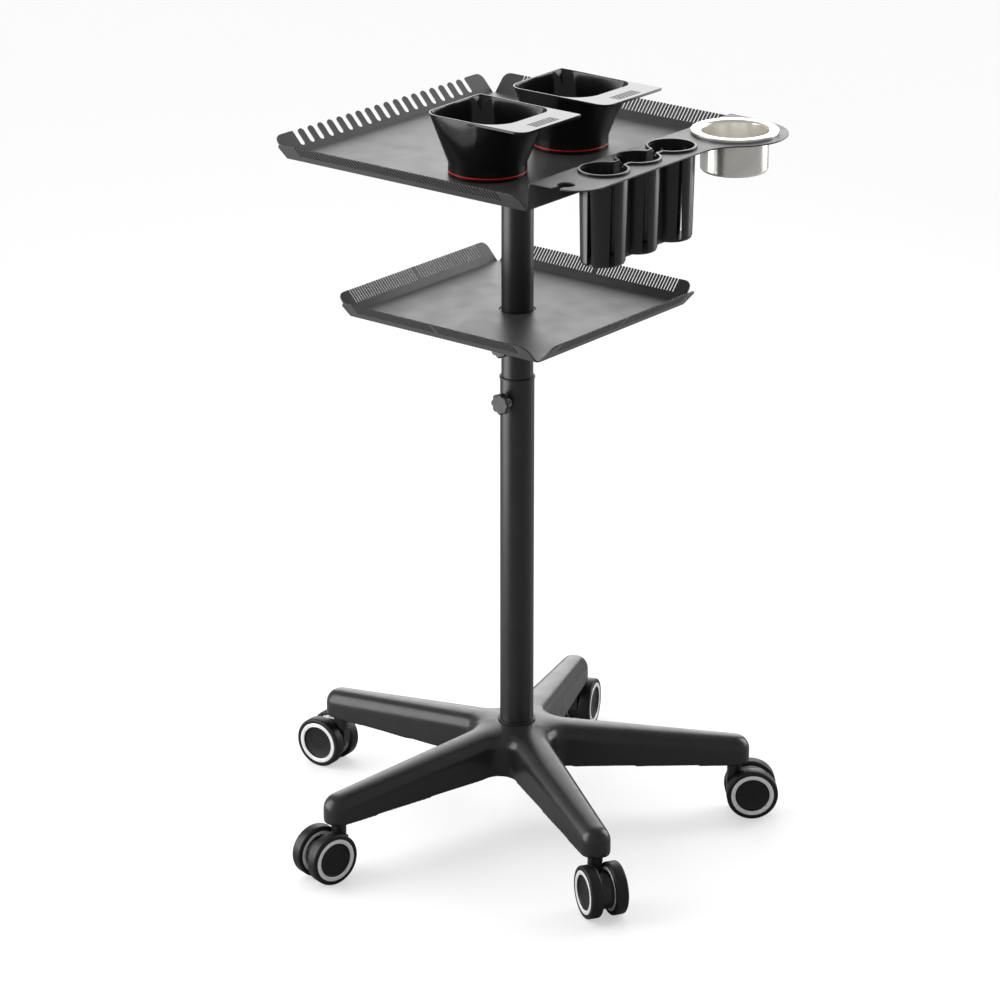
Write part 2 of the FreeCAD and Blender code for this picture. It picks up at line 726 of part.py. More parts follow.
def upper_tray():
    """One sheet: coarse comb on the -X side, fine combs front and back, raised wall and shelf on the +X side."""
    half_x, half_y = upper_floor_x / 2, upper_floor_y / 2
    length_x, length_y = upper_floor_x - 2 * rim_end_inset, upper_floor_y - 2 * rim_end_inset
    flat_end = half_x - bend_radius - sheet
    floor = block(-half_x, flat_end, -half_y, half_y, -sheet, 0)
    fine = rim(length_x, fine_slots(length_x, upper_tab, fine_pitch, fine_slot, fine_slot_start))
    coarse = rim(length_y, coarse_slots())
    pieces = [placed(fine, -90, V(0, -half_y, 0)), placed(fine, 90, V(0, half_y, 0)),
              placed(coarse, 180, V(-half_x, 0, 0)), placed(raised_wall(), 0, V(half_x, 0, 0))]
    shelf = placed(shelf_plate(), 0, V(-upper_offset_x, 0, shelf_height))
    tray = one_solid(floor, shelf, *pieces)
    return placed(tray, 0, V(upper_offset_x, 0, upper_floor_z))


# ---------------------------------------------------------------- accessory shelf
def cup_centres():
    """Where the cups hang, as (x, y, bore radius)."""
    x = wall_x + cups_from_wall
    first = shelf_near_y + first_cup_from_end
    middle = cup_count // 2
    return [(x, first + i * cup_pitch, (middle_cup_bore_dia if i == middle else cup_bore_dia) / 2)
            for i in range(cup_count)]


def steel_bowl_centre():
    """The axis of the steel bowl and of the ring that carries it."""
    return V(wall_x + bowl_ring_from_wall, shelf_far_y - bowl_ring_from_end, 0)


def shelf_plan():
    """The shelf's outline from the end of the fold, anticlockwise from the rounded outer corner."""
    fold_x = wall_x + bend_radius
    outer_x = wall_x + shelf_width
    nose = shelf_nose_radius
    ring_c = steel_bowl_centre()
    gap = outer_x - ring_c.x
    blend_y = ring_c.y - math.sqrt((bowl_ring_radius + ring_blend_radius) ** 2 - (gap + ring_blend_radius) ** 2)
    blend_c = V(outer_x + ring_blend_radius, blend_y, 0)
    towards = math.degrees(math.atan2(ring_c.y - blend_c.y, ring_c.x - blend_c.x))
    # The far edge runs straight from the end of the fold and touches the ring.
    back = V(fold_x, shelf_far_y, 0) - ring_c
    touch = math.degrees(math.atan2(back.y, back.x) - math.acos(bowl_ring_radius / back.Length))
    edges = [arc((outer_x - nose, shelf_near_y + nose), nose, -90, 0),
             arc(blend_c, ring_blend_radius, 180, towards),
             arc(ring_c, bowl_ring_radius, towards - 180, touch),
             line(V(fold_x, shelf_far_y, 0), V(fold_x, shelf_near_y, 0))]
    return joined_edges(edges)


def hook_notch():
    """The keyhole notch that a tool hangs in: a round hole with a throat to the near end."""
    x = wall_x + notch_from_wall
    y = shelf_near_y + notch_inset
    half = notch_throat / 2
    r = notch_lip_radius
    hole = cylinder(notch_radius, 3 * sheet, V(x, y, -2 * sheet))
    throat = block(x - half, x + half, shelf_near_y - 1, y, -2 * sheet, sheet)
    mouth = block(x - half - r, x + half + r, shelf_near_y - 1, shelf_near_y + r, -2 * sheet, sheet)
    for side in (-1, 1):
        mouth = mouth.cut(cylinder(r, 6 * sheet, V(x + side * (half + r), shelf_near_y + r, -3 * sheet)))
    return hole.multiFuse([throat, mouth])


def holder_plan(extra, top, bottom):
    """The holder's footprint grown by extra beyond its bores, as a solid between two levels."""
    centres = cup_centres()
    parts = [cylinder(r + extra, top - bottom, V(x, y, bottom)) for x, y, r in centres]
    half = cup_neck / 2 + extra
    x = centres[0][0]
    parts.append(block(x - half, x + half, centres[0][1], centres[-1][1], bottom, top))
    plan = one_solid(*parts)
    corners = [e for e in plan.Edges if e.BoundBox.ZLength > 0.9 * (top - bottom)
               and abs(abs(e.BoundBox.XMin - x) - half) < 1e-3]
    return plan.makeFillet(neck_corner_radius, corners)


def shelf_plate():
    """The flat of the shelf, top at Z = 0, cut for the hook notch, the cups and the steel bowl."""
    plate = Part.Face(shelf_plan()).extrude(V(0, 0, -sheet))
    plate = plate.cut(hook_notch())
    plate = plate.cut(holder_plan(cup_wall + loose_gap, sheet, -2 * sheet))
    bowl_hole = cylinder(steel_body_dia / 2 + bowl_hole_gap, 4 * sheet, steel_bowl_centre() - UP * 2 * sheet)
    return plate.cut(bowl_hole)


# ---------------------------------------------------------------- accessories
def tapered(radius, foot_radius, top, bottom, x, y):
    """A cone that narrows downwards."""
    return Part.makeCone(foot_radius, radius, top - bottom, V(x, y, bottom), UP)


def brush_holder():
    """Three slotted cups hung by one raised lip, joined by open necks that are as deep as the cups."""
    foot = shelf_top - cup_depth
    lip_top = shelf_top + cup_lip_height
    outside, inside = [], []
    for x, y, r in cup_centres():
        cup = tapered(r + cup_wall, r + cup_wall - cup_taper, shelf_top, foot, x, y)
        foot_edge = [e for e in cup.Edges if abs(e.BoundBox.ZMax - foot) < 1e-3 and e.BoundBox.ZLength < 1e-3]
        outside.append(cup.makeFillet(cup_foot_radius, foot_edge))
        inside.append(tapered(r, r - cup_taper, shelf_top, foot + cup_floor, x, y))
    centres = cup_centres()
    x, half = centres[0][0], cup_neck / 2
    outside.append(block(x - half - cup_wall, x + half + cup_wall, centres[0][1], centres[-1][1], foot, shelf_top))
    inside.append(block(x - half, x + half, centres[0][1], centres[-1][1], foot + 2 * cup_floor, shelf_top))
    inside.append(holder_plan(cup_lip_step, lip_top + 1, shelf_top))
    lip = holder_plan(cup_lip, lip_top, shelf_top)
    top_edges = [e for e in lip.Edges if e.BoundBox.ZMin > lip_top - 1e-3]
    lip = lip.makeFillet(cup_lip_rounding, top_edges)
    slits = [slit(x, y, r, 360 / cup_slits * (i + 0.5)) for x, y, r in centres for i in range(cup_slits)]
    holder = one_solid(lip, *outside).cut(inside[0].multiFuse(inside[1:])).cut(Part.makeCompound(slits))
    return max(holder.Solids, key=lambda s: s.Volume)


def slit(x, y, radius, angle):
    """The space of one slit through a cup's wall on the given side: wider downwards, open at the foot."""
    foot, head = shelf_top - cup_depth - 1, shelf_top - slit_head
    low, high = slit_foot_width / 2, slit_head_width / 2
    start = radius - cup_taper - slit_floor_bite
    outline = [V(start, -low, foot), V(start, low, foot), V(start, high, head), V(start, -high, head),
               V(start, -low, foot)]
    blade = Part.Face(Part.makePolygon(outline)).extrude(V(cup_wall + cup_taper + slit_floor_bite + 1, 0, 0))
    return placed(blade, angle, V(x, y, 0))


def steel_bowl():
    """Spun bowl: straight wall, rounded mouth, flat rim with a turned-down edge that rests on the shelf."""
    top = steel_rim_rise
    foot = top - steel_depth
    body, edge = steel_body_dia / 2, steel_rim_dia / 2
    w = steel_wall
    bowl = turned(((0, foot), (body, foot), (body, top - w), (edge - w, top - w), (edge - w, top - steel_rim_drop),
                   (edge, top - steel_rim_drop), (edge, top), (body - w, top), (body - w, foot + w), (0, foot + w)))
    bowl = rounded_circle(bowl, body - w, top, steel_mouth_radius)
    bowl = rounded_circle(bowl, body, top - w, steel_mouth_radius - w)
    bowl = rounded_circle(bowl, body, foot, steel_foot_radius)
    bowl = rounded_circle(bowl, body - w, foot + w, steel_foot_radius - w)
    bowl = rounded_circle(bowl, edge, top, 0.9 * w)
    rest = shelf_top + steel_rim_drop - steel_rim_rise
    return placed(bowl, 0, steel_bowl_centre() + UP * rest)


def rounded_circle(solid, radius, z, fillet):
    """A turned solid with the circular edge of this radius and height rounded."""
    edges = [e for e in solid.Edges if e.BoundBox.ZLength < 1e-3 and abs(e.BoundBox.ZMin - z) < 1e-3
             and abs(e.BoundBox.XMax - radius) < 1e-3]
    return solid.makeFillet(fillet, edges)


def mouth_wire(half, corner, wide, spout, reach, z):
    """The square mouth: round corners, the (+X, -Y) one wider, and a pointed spout at (-X, +Y)."""
    c, d = half - corner, half - wide
    s = half - spout + reach
    return joined_edges([arc((d, -d), wide, -90, 0, z), arc((c, c), corner, 0, 90, z),
                         arc((-s, s), spout, 90, 180, z), arc((-c, -c), corner, 180, 270, z)])


def foot_wire(radius, z):
    """A circle in eight arcs that line up with the mouth's corners and sides."""
    spans = ((-67.5, -22.5), (-22.5, 22.5), (22.5, 67.5), (67.5, 112.5), (112.5, 157.5), (157.5, 202.5),
             (202.5, 247.5), (247.5, 292.5))
    return Part.Wire([arc((0, 0), radius, a, b, z) for a, b in spans])


def tint_body(inset, bottom, top):
    """The bowl's outer shape shrunk by inset, between two levels."""
    half = tint_half - inset
    radius = tint_foot_dia / 2 - inset
    corner, wide = tint_corner_radius - inset, tint_handle_corner_radius - inset
    spout = max(spout_radius - inset, 1.0)
    foot = cylinder(radius, tint_waist_height - bottom, V(0, 0, bottom))
    mouth = mouth_wire(half, corner, wide, spout, spout_reach, top)
    loft = Part.makeLoft([foot_wire(radius, tint_waist_height), mouth], True, True)
    return foot.fuse(loft)


def tint_handle():
    """The flat shelf on the +X side, flush with the mouth, with the staggered grip grooves."""
    top = tint_height
    x0, x1, y = tint_half - tint_handle_corner_radius, handle_reach, tint_half
    near, far = handle_corner_radius, handle_far_corner_radius
    outline = joined_edges([arc((x1 - near, -y + near), near, -90, 0, top), arc((x1 - far, y - far), far, 0, 90, top),
                            line(V(x0, y, top), V(x0, -y, top))])
    handle = Part.Face(outline).extrude(V(0, 0, -handle_thickness))
    for i in range(grip_groove_count):
        x = grip_centre + (i - (grip_groove_count - 1) / 2) * grip_groove_pitch
        shift = grip_groove_stagger * (1 if i % 2 else -1)
        y0 = shift - grip_groove_length / 2
        groove = block(x - grip_groove_width / 2, x + grip_groove_width / 2, y0, y0 + grip_groove_length,
                       top - grip_groove_depth, top + 1)
        handle = handle.cut(groove)
    return handle


def tint_bowl():
    """One bowl at the origin, standing on Z = 0."""
    outer = tint_body(0, 0, tint_height)
    inner = tint_body(tint_wall, tint_floor, tint_height)
    mouth = Part.Face(mouth_wire(tint_half - tint_wall, tint_corner_radius - tint_wall,
                                 tint_handle_corner_radius - tint_wall, max(spout_radius - tint_wall, 1.0),
                                 spout_reach, tint_height))
    bowl = one_solid(outer, tint_handle()).cut(inner).cut(mouth.extrude(UP))
    radius = tint_foot_dia / 2
    groove = ring(radius + 1, radius - band_depth, band_height, V(0, 0, band_level))
    return bowl.cut(groove)


def tint_band():
    """The coloured band in the groove round the foot."""
    radius = tint_foot_dia / 2
    return ring(radius + band_proud, radius - band_depth + fixed_gap, band_height - 2 * fixed_gap,
                V(0, 0, band_level + fixed_gap))


# ---------------------------------------------------------------- the whole trolley
def all_pieces():
    """Every node's shape by name, built about the column's axis."""
    pieces = {
        "base_star": base_star(),
        "castor_sockets": castor_sockets(),
        "castor_stems": castor_stems(),
        "column_foot_bolt": column_foot_bolt(),
        "column_foot_ring": column_foot_ring(),
        "lower_column_tube": lower_column_tube(),
        "column_top_ring": column_top_ring(),
        "column_clamp_insert": clamp_insert(tube_r, tube_bore_r + fixed_gap, column_clamp_z),
        "column_clamp_pad": clamp_pad(column_clamp_z),
        "column_clamp_screw": clamp_screw(tube_r, column_clamp_z),
        "column_clamp_knob": clamp_knob(tube_r, column_clamp_z),
        "mast_guide": mast_guide(),
        "upper_column_tube": upper_column_tube(),
        "upper_tray_socket": upper_tray_socket(),
        "upper_tray": upper_tray(),
        "lower_tray": lower_tray(),
        "lower_tray_sleeve": lower_tray_sleeve(),
        "lower_tray_liner": lower_tray_liner(),
        "tray_clamp_insert": clamp_insert(sleeve_dia / 2, mast_r + slide_gap, tray_clamp_z),
        "tray_clamp_pad": clamp_pad(tray_clamp_z),
        "tray_clamp_screw": clamp_screw(sleeve_dia / 2, tray_clamp_z),
        "tray_clamp_knob": clamp_knob(sleeve_dia / 2, tray_clamp_z),
        "brush_holder": brush_holder(),
        "steel_bowl": steel_bowl(),
    }
    bowl, band = tint_bowl(), tint_band()
    for i, (x, y) in enumerate(tint_positions):
        spot = V(x, y, upper_floor_z)
        pieces[f"tint_bowl_{i + 1}"] = placed(bowl, 0, spot)
        pieces[f"tint_bowl_{i + 1}_band"] = placed(band, 0, spot)
    pieces.update(castor_pieces())
    return pieces


def footprint_shift(pieces):
    """The move that brings the middle of the whole footprint to the origin."""
    box = FreeCAD.BoundBox()
    for shape in pieces.values():
        box.add(shape.optimalBoundingBox(False))
    return V(-box.Center.x, -box.Center.y, 0)


def main():
    """Build, centre and export every node."""
    pieces = all_pieces()
    shift = footprint_shift(pieces)
    os.makedirs("parts", exist_ok=True)
    for name, shape in pieces.items():
        shape.translate(shift)
        shape.exportStep(f"parts/{name}.step")
        print(f"{name}: {len(shape.Solids)} solid(s), {shape.Volume / 1000:.2f} cm3, valid {shape.isValid()}")
    print(f"column axis at {shift.x:.4f}, {shift.y:.4f}")


if __name__ == "__main__":
    main()
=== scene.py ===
"""A salon trolley dressed for a studio picture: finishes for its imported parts, and a softly crowned base and
finely made wheels, trim rings, clamp knobs and bowls in place of the plain ones."""
import json
import math

import bmesh
import bpy
from bpy.props import FloatProperty, FloatVectorProperty, IntProperty, PointerProperty
from mathutils import Matrix, Vector


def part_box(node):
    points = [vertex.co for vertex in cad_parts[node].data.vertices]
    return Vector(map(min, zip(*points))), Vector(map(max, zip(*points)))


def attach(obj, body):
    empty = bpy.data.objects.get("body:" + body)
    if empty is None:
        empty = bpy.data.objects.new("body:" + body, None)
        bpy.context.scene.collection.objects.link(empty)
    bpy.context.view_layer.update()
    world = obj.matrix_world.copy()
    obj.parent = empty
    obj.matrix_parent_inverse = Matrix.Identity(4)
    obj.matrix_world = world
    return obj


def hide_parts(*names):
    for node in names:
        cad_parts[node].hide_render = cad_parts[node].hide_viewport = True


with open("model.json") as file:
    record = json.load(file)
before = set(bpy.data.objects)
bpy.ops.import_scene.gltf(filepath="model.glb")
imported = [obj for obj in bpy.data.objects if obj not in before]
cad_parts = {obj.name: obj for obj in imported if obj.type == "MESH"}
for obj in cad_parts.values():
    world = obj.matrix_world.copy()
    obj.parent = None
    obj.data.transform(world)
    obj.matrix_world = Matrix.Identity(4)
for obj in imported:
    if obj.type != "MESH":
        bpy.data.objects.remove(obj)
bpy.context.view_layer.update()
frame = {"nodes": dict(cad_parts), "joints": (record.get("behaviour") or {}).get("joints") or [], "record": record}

bl_info = {
    "name": "Salon Trolley Dresser",
    "version": (1, 0, 0),
    "blender": (4, 5, 0),
    "location": "3D View > Sidebar > Trolley",
    "description": "Builds a salon trolley's visible pieces, finishes and studio around its packed frame",
    "category": "Object",
}

JOINTS = {joint["name"]: joint for joint in frame["joints"]}
SLOT_OF = {part["node"]: part["material_slot"] for part in frame["record"]["subparts"]}
MM = 0.001


def shade(name, default, text):
    """A colour setting."""
    return FloatVectorProperty(name=name, default=default, size=3, min=0, max=1, subtype="COLOR",
                               description=text)


def length(name, default, text):
    """A length setting in metres."""
    return FloatProperty(name=name, default=default, min=0, unit="LENGTH", subtype="DISTANCE", precision=4,
                         description=text)


def share(name, default, text):
    """A setting from 0 to 1."""
    return FloatProperty(name=name, default=default, min=0, max=1, subtype="FACTOR", description=text)


def bearing(name, degrees, text):
    """An angle setting."""
    return FloatProperty(name=name, default=math.radians(degrees), subtype="ANGLE", description=text)


def amount(name, default, text, **settings):
    """A setting of 0 or more for a light."""
    return FloatProperty(name=name, default=default, min=0, description=text, **settings)


# ------------------------------------------------------------------ settings
class TrolleyFinishes(bpy.types.PropertyGroup):
    """Colours and gloss of the trolley's finishes."""
    tray_coat: shade("Tray coat", (0.045, 0.045, 0.046), "Powder coat of both trays and the shelf")
    tube_coat: shade("Tube coat", (0.014, 0.014, 0.015), "Powder coat of the column and its sockets")
    base_nylon: shade("Base nylon", (0.016, 0.016, 0.0165), "Glass-filled nylon of the base")
    moulding: shade("Moulding", (0.012, 0.012, 0.0125), "Black plastic of castor hoods, sockets and cups")
    knob: shade("Knob", (0.024, 0.024, 0.0245), "Grey-black plastic of the clamp knobs")
    tread: shade("Tread", (0.005, 0.005, 0.005), "Castor treads")
    tint_bowl: shade("Tint bowl", (0.007, 0.007, 0.0075), "Gloss plastic of the tint bowls")
    band: shade("Band", (0.80, 0.012, 0.014), "Coloured band round each tint bowl's foot")
    steel: shade("Steel", (0.92, 0.905, 0.855), "Polished stainless of the bowl")
    trim: shade("Trim", (0.95, 0.95, 0.955), "Silver rings on the castors")
    zinc: shade("Zinc", (0.62, 0.62, 0.63), "Plated pins, bolts and screws")
    tray_roughness: share("Tray roughness", 0.40, "How matt the trays' coat is")
    tube_roughness: share("Tube roughness", 0.36, "How matt the column's coat is")
    base_roughness: share("Base roughness", 0.29, "How matt the base is")
    edge_wear: share("Edge wear", 0.35, "How much paler the coats are along their edges")


class TrolleySizes(bpy.types.PropertyGroup):
    """Sizes of the pieces that are made here."""
    segments: IntProperty(name="Segments", default=128, min=24, description="Facets round each turned piece")
    tint_mouth: length("Tint bowl mouth", 0.0505, "Half the width of a tint bowl's square mouth")
    tint_shift: length("Tint bowl reach", 0.0035, "How far the mouth runs on under the handle")
    tint_corner: length("Tint bowl corner", 0.020, "Radius of the mouth's ordinary corners")
    tint_wide_corner: length("Tint bowl front corner", 0.034, "Radius of the corner at the handle's front")
    tint_spout: length("Spout radius", 0.003, "Radius of the spout's tip")
    tint_spout_depth: length("Spout depth", 0.021, "How far down the bowl's corner the spout is pressed out")
    tint_spout_reach: length("Spout reach", 0.0025, "How far the spout passes the square's corner")
    tint_wall: length("Tint bowl wall", 0.0022, "Wall of a tint bowl")
    tint_floor: length("Tint bowl floor", 0.003, "Floor of a tint bowl")
    tint_waist: length("Tint bowl waist", 0.013, "Height of the round foot")
    handle_reach: length("Handle reach", 0.088, "Handle's outer edge from the bowl's axis")
    handle_thickness: length("Handle thickness", 0.003, "Thickness of the handle")
    handle_front_corner: length("Handle front corner", 0.013, "Radius of the handle's front corner")
    handle_back_corner: length("Handle back corner", 0.0025, "Radius of the handle's back corner")
    tyre_edge: length("Tread edge", 0.0034, "Rounding of a wheel's tread")
    tread_depth: length("Tread depth", 0.005, "How far the silver ring is in from the tread")
    trim_width: length("Trim width", 0.005, "Width of the silver ring on a wheel's outer face")
    trim_back_width: length("Inner trim width", 0.0042, "Width of the silver ring on a wheel's inner face")


class TrolleyStage(bpy.types.PropertyGroup):
    """Camera, floor and lights."""
    camera_azimuth: bearing("Azimuth", 38.47, "Camera's direction, from the front towards the shelf")
    camera_elevation: bearing("Elevation", 20.56, "How far the camera looks down")
    camera_distance: length("Distance", 4.3187, "From the camera to the point it looks at")
    aim_height: length("Aim height", 0.3926, "Height of that point")
    aim_left: length("Aim left", 0.0194, "How far that point is to the left of the column")
    lens: FloatProperty(name="Lens", default=137.16, min=1, subtype="DISTANCE_CAMERA",
                        description="Focal length in mm")
    floor: shade("Floor", (0.93, 0.93, 0.93), "Colour of the studio floor")
    floor_glow: share("Floor glow", 0.5, "How far the floor's own light fills its shadows")
    floor_reflected: share("Floor in reflections", 0.30, "How bright the floor is where pieces mirror it")
    overhead: amount("Overhead", 2.0, "Strength of the soft light above, which isn't mirrored")
    backdrop: amount("Backdrop", 0.92, "Strength of the low bright wall behind")
    side: amount("Side lights", 30.0, "Power of each side strip", subtype="POWER")
    sky: amount("Surround", 0.50, "Brightness of the studio all round")
    floor_reach: length("Floor reach", 20.0, "Half the width of the floor")
    strip_width: length("Strip width", 1.1, "Width of each side strip")
    strip_height: length("Strip height", 1.9, "Height of each side strip")
    sky_top: share("Surround overhead", 0.60, "How much of that brightness is left straight above")


# ------------------------------------------------------------------ meshes
def new_object(name, mesh, smooth_angle=35.0):
    """An object in the scene, smooth apart from edges sharper than the angle."""
    mesh.shade_smooth()
    mesh.set_sharp_from_angle(angle=math.radians(smooth_angle))
    obj = bpy.data.objects.new(name, mesh)
    bpy.context.scene.collection.objects.link(obj)
    return obj


def applied(obj):
    """The object's mesh as its modifiers leave it. The object goes."""
    bpy.context.view_layer.update()
    mesh = bpy.data.meshes.new_from_object(obj.evaluated_get(bpy.context.evaluated_depsgraph_get()))
    bpy.data.objects.remove(obj)
    return mesh


def filleted(corners, steps=6):
    """(x, y) points along a path of (x, y, fillet radius) corners. The first and last aren't rounded."""
    points = [Vector(corners[0][:2])]
    for before, here, after in zip(corners, corners[1:], corners[2:]):
        corner, radius = Vector(here[:2]), here[2]
        back, on = (Vector(before[:2]) - corner), (Vector(after[:2]) - corner)
        turn = back.angle(on) if back.length and on.length else math.pi
        if radius <= 0 or turn > math.radians(179):
            points.append(corner)
            continue
        reach = min(radius / math.tan(turn / 2), 0.49 * back.length, 0.49 * on.length)
        radius = reach * math.tan(turn / 2)
        middle = (back.normalized() + on.normalized()).normalized()
        centre = corner + middle * (radius / math.sin(turn / 2))
        first, last = corner + back.normalized() * reach - centre, corner + on.normalized() * reach - centre
        sweep = first.angle_signed(last)
        for i in range(steps + 1):
            points.append(centre + Matrix.Rotation(-sweep * i / steps, 2) @ first)
    points.append(Vector(corners[-1][:2]))
    return points


def grid_mesh(name, rows, cap_first=False, cap_last=False):
    """A mesh from closed rings of points, ring by ring. A ring of one point closes to a tip."""
    bm = bmesh.new()
    rings = [[bm.verts.new(p) for p in row] for row in rows]
    for lower, upper in zip(rings, rings[1:]):
        count = max(len(lower), len(upper))
        for i in range(count):
            j = (i + 1) % count
            if len(lower) == 1:
                bm.faces.new((lower[0], upper[j], upper[i]))
            elif len(upper) == 1:
                bm.faces.new((lower[i], lower[j], upper[0]))
            else:
                bm.faces.new((lower[i], lower[j], upper[j], upper[i]))
    if cap_first:
        bm.faces.new(list(reversed(rings[0])))
    if cap_last:
        bm.faces.new(rings[-1])
    bmesh.ops.remove_doubles(bm, verts=bm.verts, dist=1e-7)
    bmesh.ops.recalc_face_normals(bm, faces=bm.faces)
    mesh = bpy.data.meshes.new(name)
    bm.to_mesh(mesh)
    bm.free()
    return mesh


def turned_mesh(name, corners, segments, ripple=None):
    """A body turned about Z from (radius, height, fillet) corners. ripple(angle, radius) moves a point."""
    rows = []
    for radius, height in filleted(corners):
        if radius < 1e-7:
            rows.append([(0, 0, height)])
            continue
        row = []
        for i in range(segments):
            angle = math.tau * i / segments
            r = radius if ripple is None else ripple(angle, radius)
            row.append((r * math.cos(angle), r * math.sin(angle), height))
        rows.append(row)
    return grid_mesh(name, rows)


def on_axis(point, direction):
    """A matrix that takes local Z to direction and the origin to point."""
    return Matrix.Translation(point) @ Vector(direction).to_track_quat("Z", "Y").to_matrix().to_4x4()


def middle_of(node):
    """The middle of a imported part's box."""
    low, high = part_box(node)
    return (low + high) / 2


def column_axis():
    """The column's axis on the floor."""
    point = middle_of("upper_column_tube")
    return Vector((point.x, point.y, 0))


def clamped(value):
    """The value, kept from 0 to 1."""
    return min(max(value, 0.0), 1.0)


# ------------------------------------------------------------------ shared effects
class Nodes:
    """Short ways to build a node tree."""

    def __init__(self, tree):
        self.tree = tree

    def add(self, kind, inputs=(), **settings):
        """A node with its settings and its inputs. An input is a value or another node's socket."""
        node = self.tree.nodes.new(kind)
        for key, value in settings.items():
            setattr(node, key, value)
        for key, value in dict(inputs).items():
            self.feed(node.inputs[key], value)
        return node

    def feed(self, socket, value):
        """Links a socket or sets a value."""
        if isinstance(value, bpy.types.NodeSocket):
            self.tree.links.new(value, socket)
        else:
            socket.default_value = value

    def maths(self, operation, *values):
        """A Math node's output."""
        node = self.add("ShaderNodeMath", operation=operation)
        for socket, value in zip(node.inputs, values):
            self.feed(socket, value)
        return node.outputs[0]

    def mix(self, factor, a, b):
        """A colour between a and b."""
        node = self.add("ShaderNodeMix", data_type="RGBA")
        for socket, value in ((node.inputs[0], factor), (node.inputs[6], a), (node.inputs[7], b)):
            self.feed(socket, value)
        return node.outputs[2]

    def remap(self, value, low, high, to_low=0.0, to_high=1.0):
        """A value moved from one range to another."""
        return self.add("ShaderNodeMapRange", {0: value, 1: low, 2: high, 3: to_low, 4: to_high}).outputs[0]

    def noise(self, vector, scale, **inputs):
        """A noise texture's value."""
        node = self.add("ShaderNodeTexNoise", {"Vector": vector, "Scale": scale, **inputs})
        return node.outputs["Fac"]

    def here(self):
        """The place on the object."""
        return self.add("ShaderNodeTexCoord").outputs["Object"]

    def vector(self, operation, *values):
        """A Vector Math node."""
        return self.add("ShaderNodeVectorMath", dict(enumerate(values)), operation=operation)

    def place(self, group, **inputs):
        """A copy of a shared effect with its own values."""
        node = self.add("ShaderNodeGroup", node_tree=group)
        for key, value in inputs.items():
            self.feed(node.inputs[key.replace("_", " ")], value)
        return node


def effect(name, inputs, outputs):
    """An empty shared effect with named inputs and outputs, or None for its tools if it's already built."""
    if name in bpy.data.node_groups:
        return bpy.data.node_groups[name], None, None, None
    group = bpy.data.node_groups.new(name, "ShaderNodeTree")
    for label, default in inputs.items():
        socket = group.interface.new_socket(label, in_out="INPUT", socket_type="NodeSocketFloat")
        socket.default_value = default
    for label, kind in outputs.items():
        group.interface.new_socket(label, in_out="OUTPUT", socket_type=kind)
    n = Nodes(group)
    return group, n, n.add("NodeGroupInput").outputs, n.add("NodeGroupOutput").inputs


def coat_grain():
    """Orange-peel and fine pimples of a powder coat, and the faint mottling of its gloss."""
    group, n, give, take = effect("Coat grain", {"Size": 0.0006, "Mottle size": 0.03},
                                  {"Height": "NodeSocketFloat", "Mottle": "NodeSocketFloat"})
    if n:
        place = n.here()
        fine = n.noise(place, n.maths("DIVIDE", 1.0, give["Size"]), Detail=3.0, Roughness=0.6)
        spacing = n.maths("DIVIDE", 0.6, give["Size"])
        cells = n.add("ShaderNodeTexVoronoi", {"Vector": place, "Scale": spacing}, feature="SMOOTH_F1")
        pimples = n.maths("MULTIPLY", cells.outputs["Distance"], 0.5)
        n.feed(take["Height"], n.maths("ADD", n.maths("MULTIPLY", fine, 0.6), pimples))
        n.feed(take["Mottle"], n.noise(place, n.maths("DIVIDE", 1.0, give["Mottle size"]), Detail=4.0))
    return group


def soft_edge():
    """Rounds sharp edges in the light, and finds them for wear."""
    group, n, give, take = effect("Soft edge", {"Radius": 0.0005, "Wear size": 0.004},
                                  {"Normal": "NodeSocketVector", "Edge": "NodeSocketFloat"})
    if n:
        rounded = n.add("ShaderNodeBevel", {"Radius": give["Radius"]}, samples=6).outputs["Normal"]
        true = n.add("ShaderNodeNewGeometry").outputs["True Normal"]
        facing = n.vector("DOT_PRODUCT", rounded, true).outputs["Value"]
        broken = n.noise(n.here(), n.maths("DIVIDE", 1.0, give["Wear size"]), Detail=5.0)
        edge = n.remap(facing, 0.985, 0.80)
        n.feed(take["Normal"], rounded)
        n.feed(take["Edge"], n.maths("MULTIPLY", edge, n.remap(broken, 0.35, 0.62, 0.25, 1.0)))
    return group


def handling_marks():
    """Faint wipes and finger smudges on a glossy surface."""
    group, n, give, take = effect("Handling marks", {"Size": 0.02}, {"Smudge": "NodeSocketFloat"})
    if n:
        place, scale = n.here(), n.maths("DIVIDE", 1.0, give["Size"])
        blots = n.remap(n.noise(place, scale, Detail=5.0, Distortion=1.2), 0.42, 0.68)
        specks = n.noise(place, n.maths("MULTIPLY", scale, 9.0), Detail=2.0)
        n.feed(take["Smudge"], n.maths("ADD", blots, n.remap(specks, 0.6, 0.8, 0.0, 0.25)))
    return group


def settled_dust():
    """Fine dust that lies on upward faces, thicker in patches."""
    group, n, give, take = effect("Settled dust", {"Patch size": 0.05}, {"Dust": "NodeSocketFloat"})
    if n:
        normal = n.add("ShaderNodeNewGeometry").outputs["Normal"]
        up = n.add("ShaderNodeSeparateXYZ", {0: normal}).outputs["Z"]
        patches = n.noise(n.here(), n.maths("DIVIDE", 1.0, give["Patch size"]), Detail=6.0, Roughness=0.65)
        n.feed(take["Dust"], n.maths("MULTIPLY", n.remap(up, 0.5, 0.95), n.remap(patches, 0.4, 0.75)))
    return group


# ------------------------------------------------------------------ finishes
def finish(name, **sockets):
    """A material with a plain shader, its node tools and its shader node."""
    material = bpy.data.materials.new(name)
    material.use_nodes = True
    n = Nodes(material.node_tree)
    shader = material.node_tree.nodes["Principled BSDF"]
    for key, value in sockets.items():
        shader.inputs[key.replace("_", " ")].default_value = value
    return material, n, shader


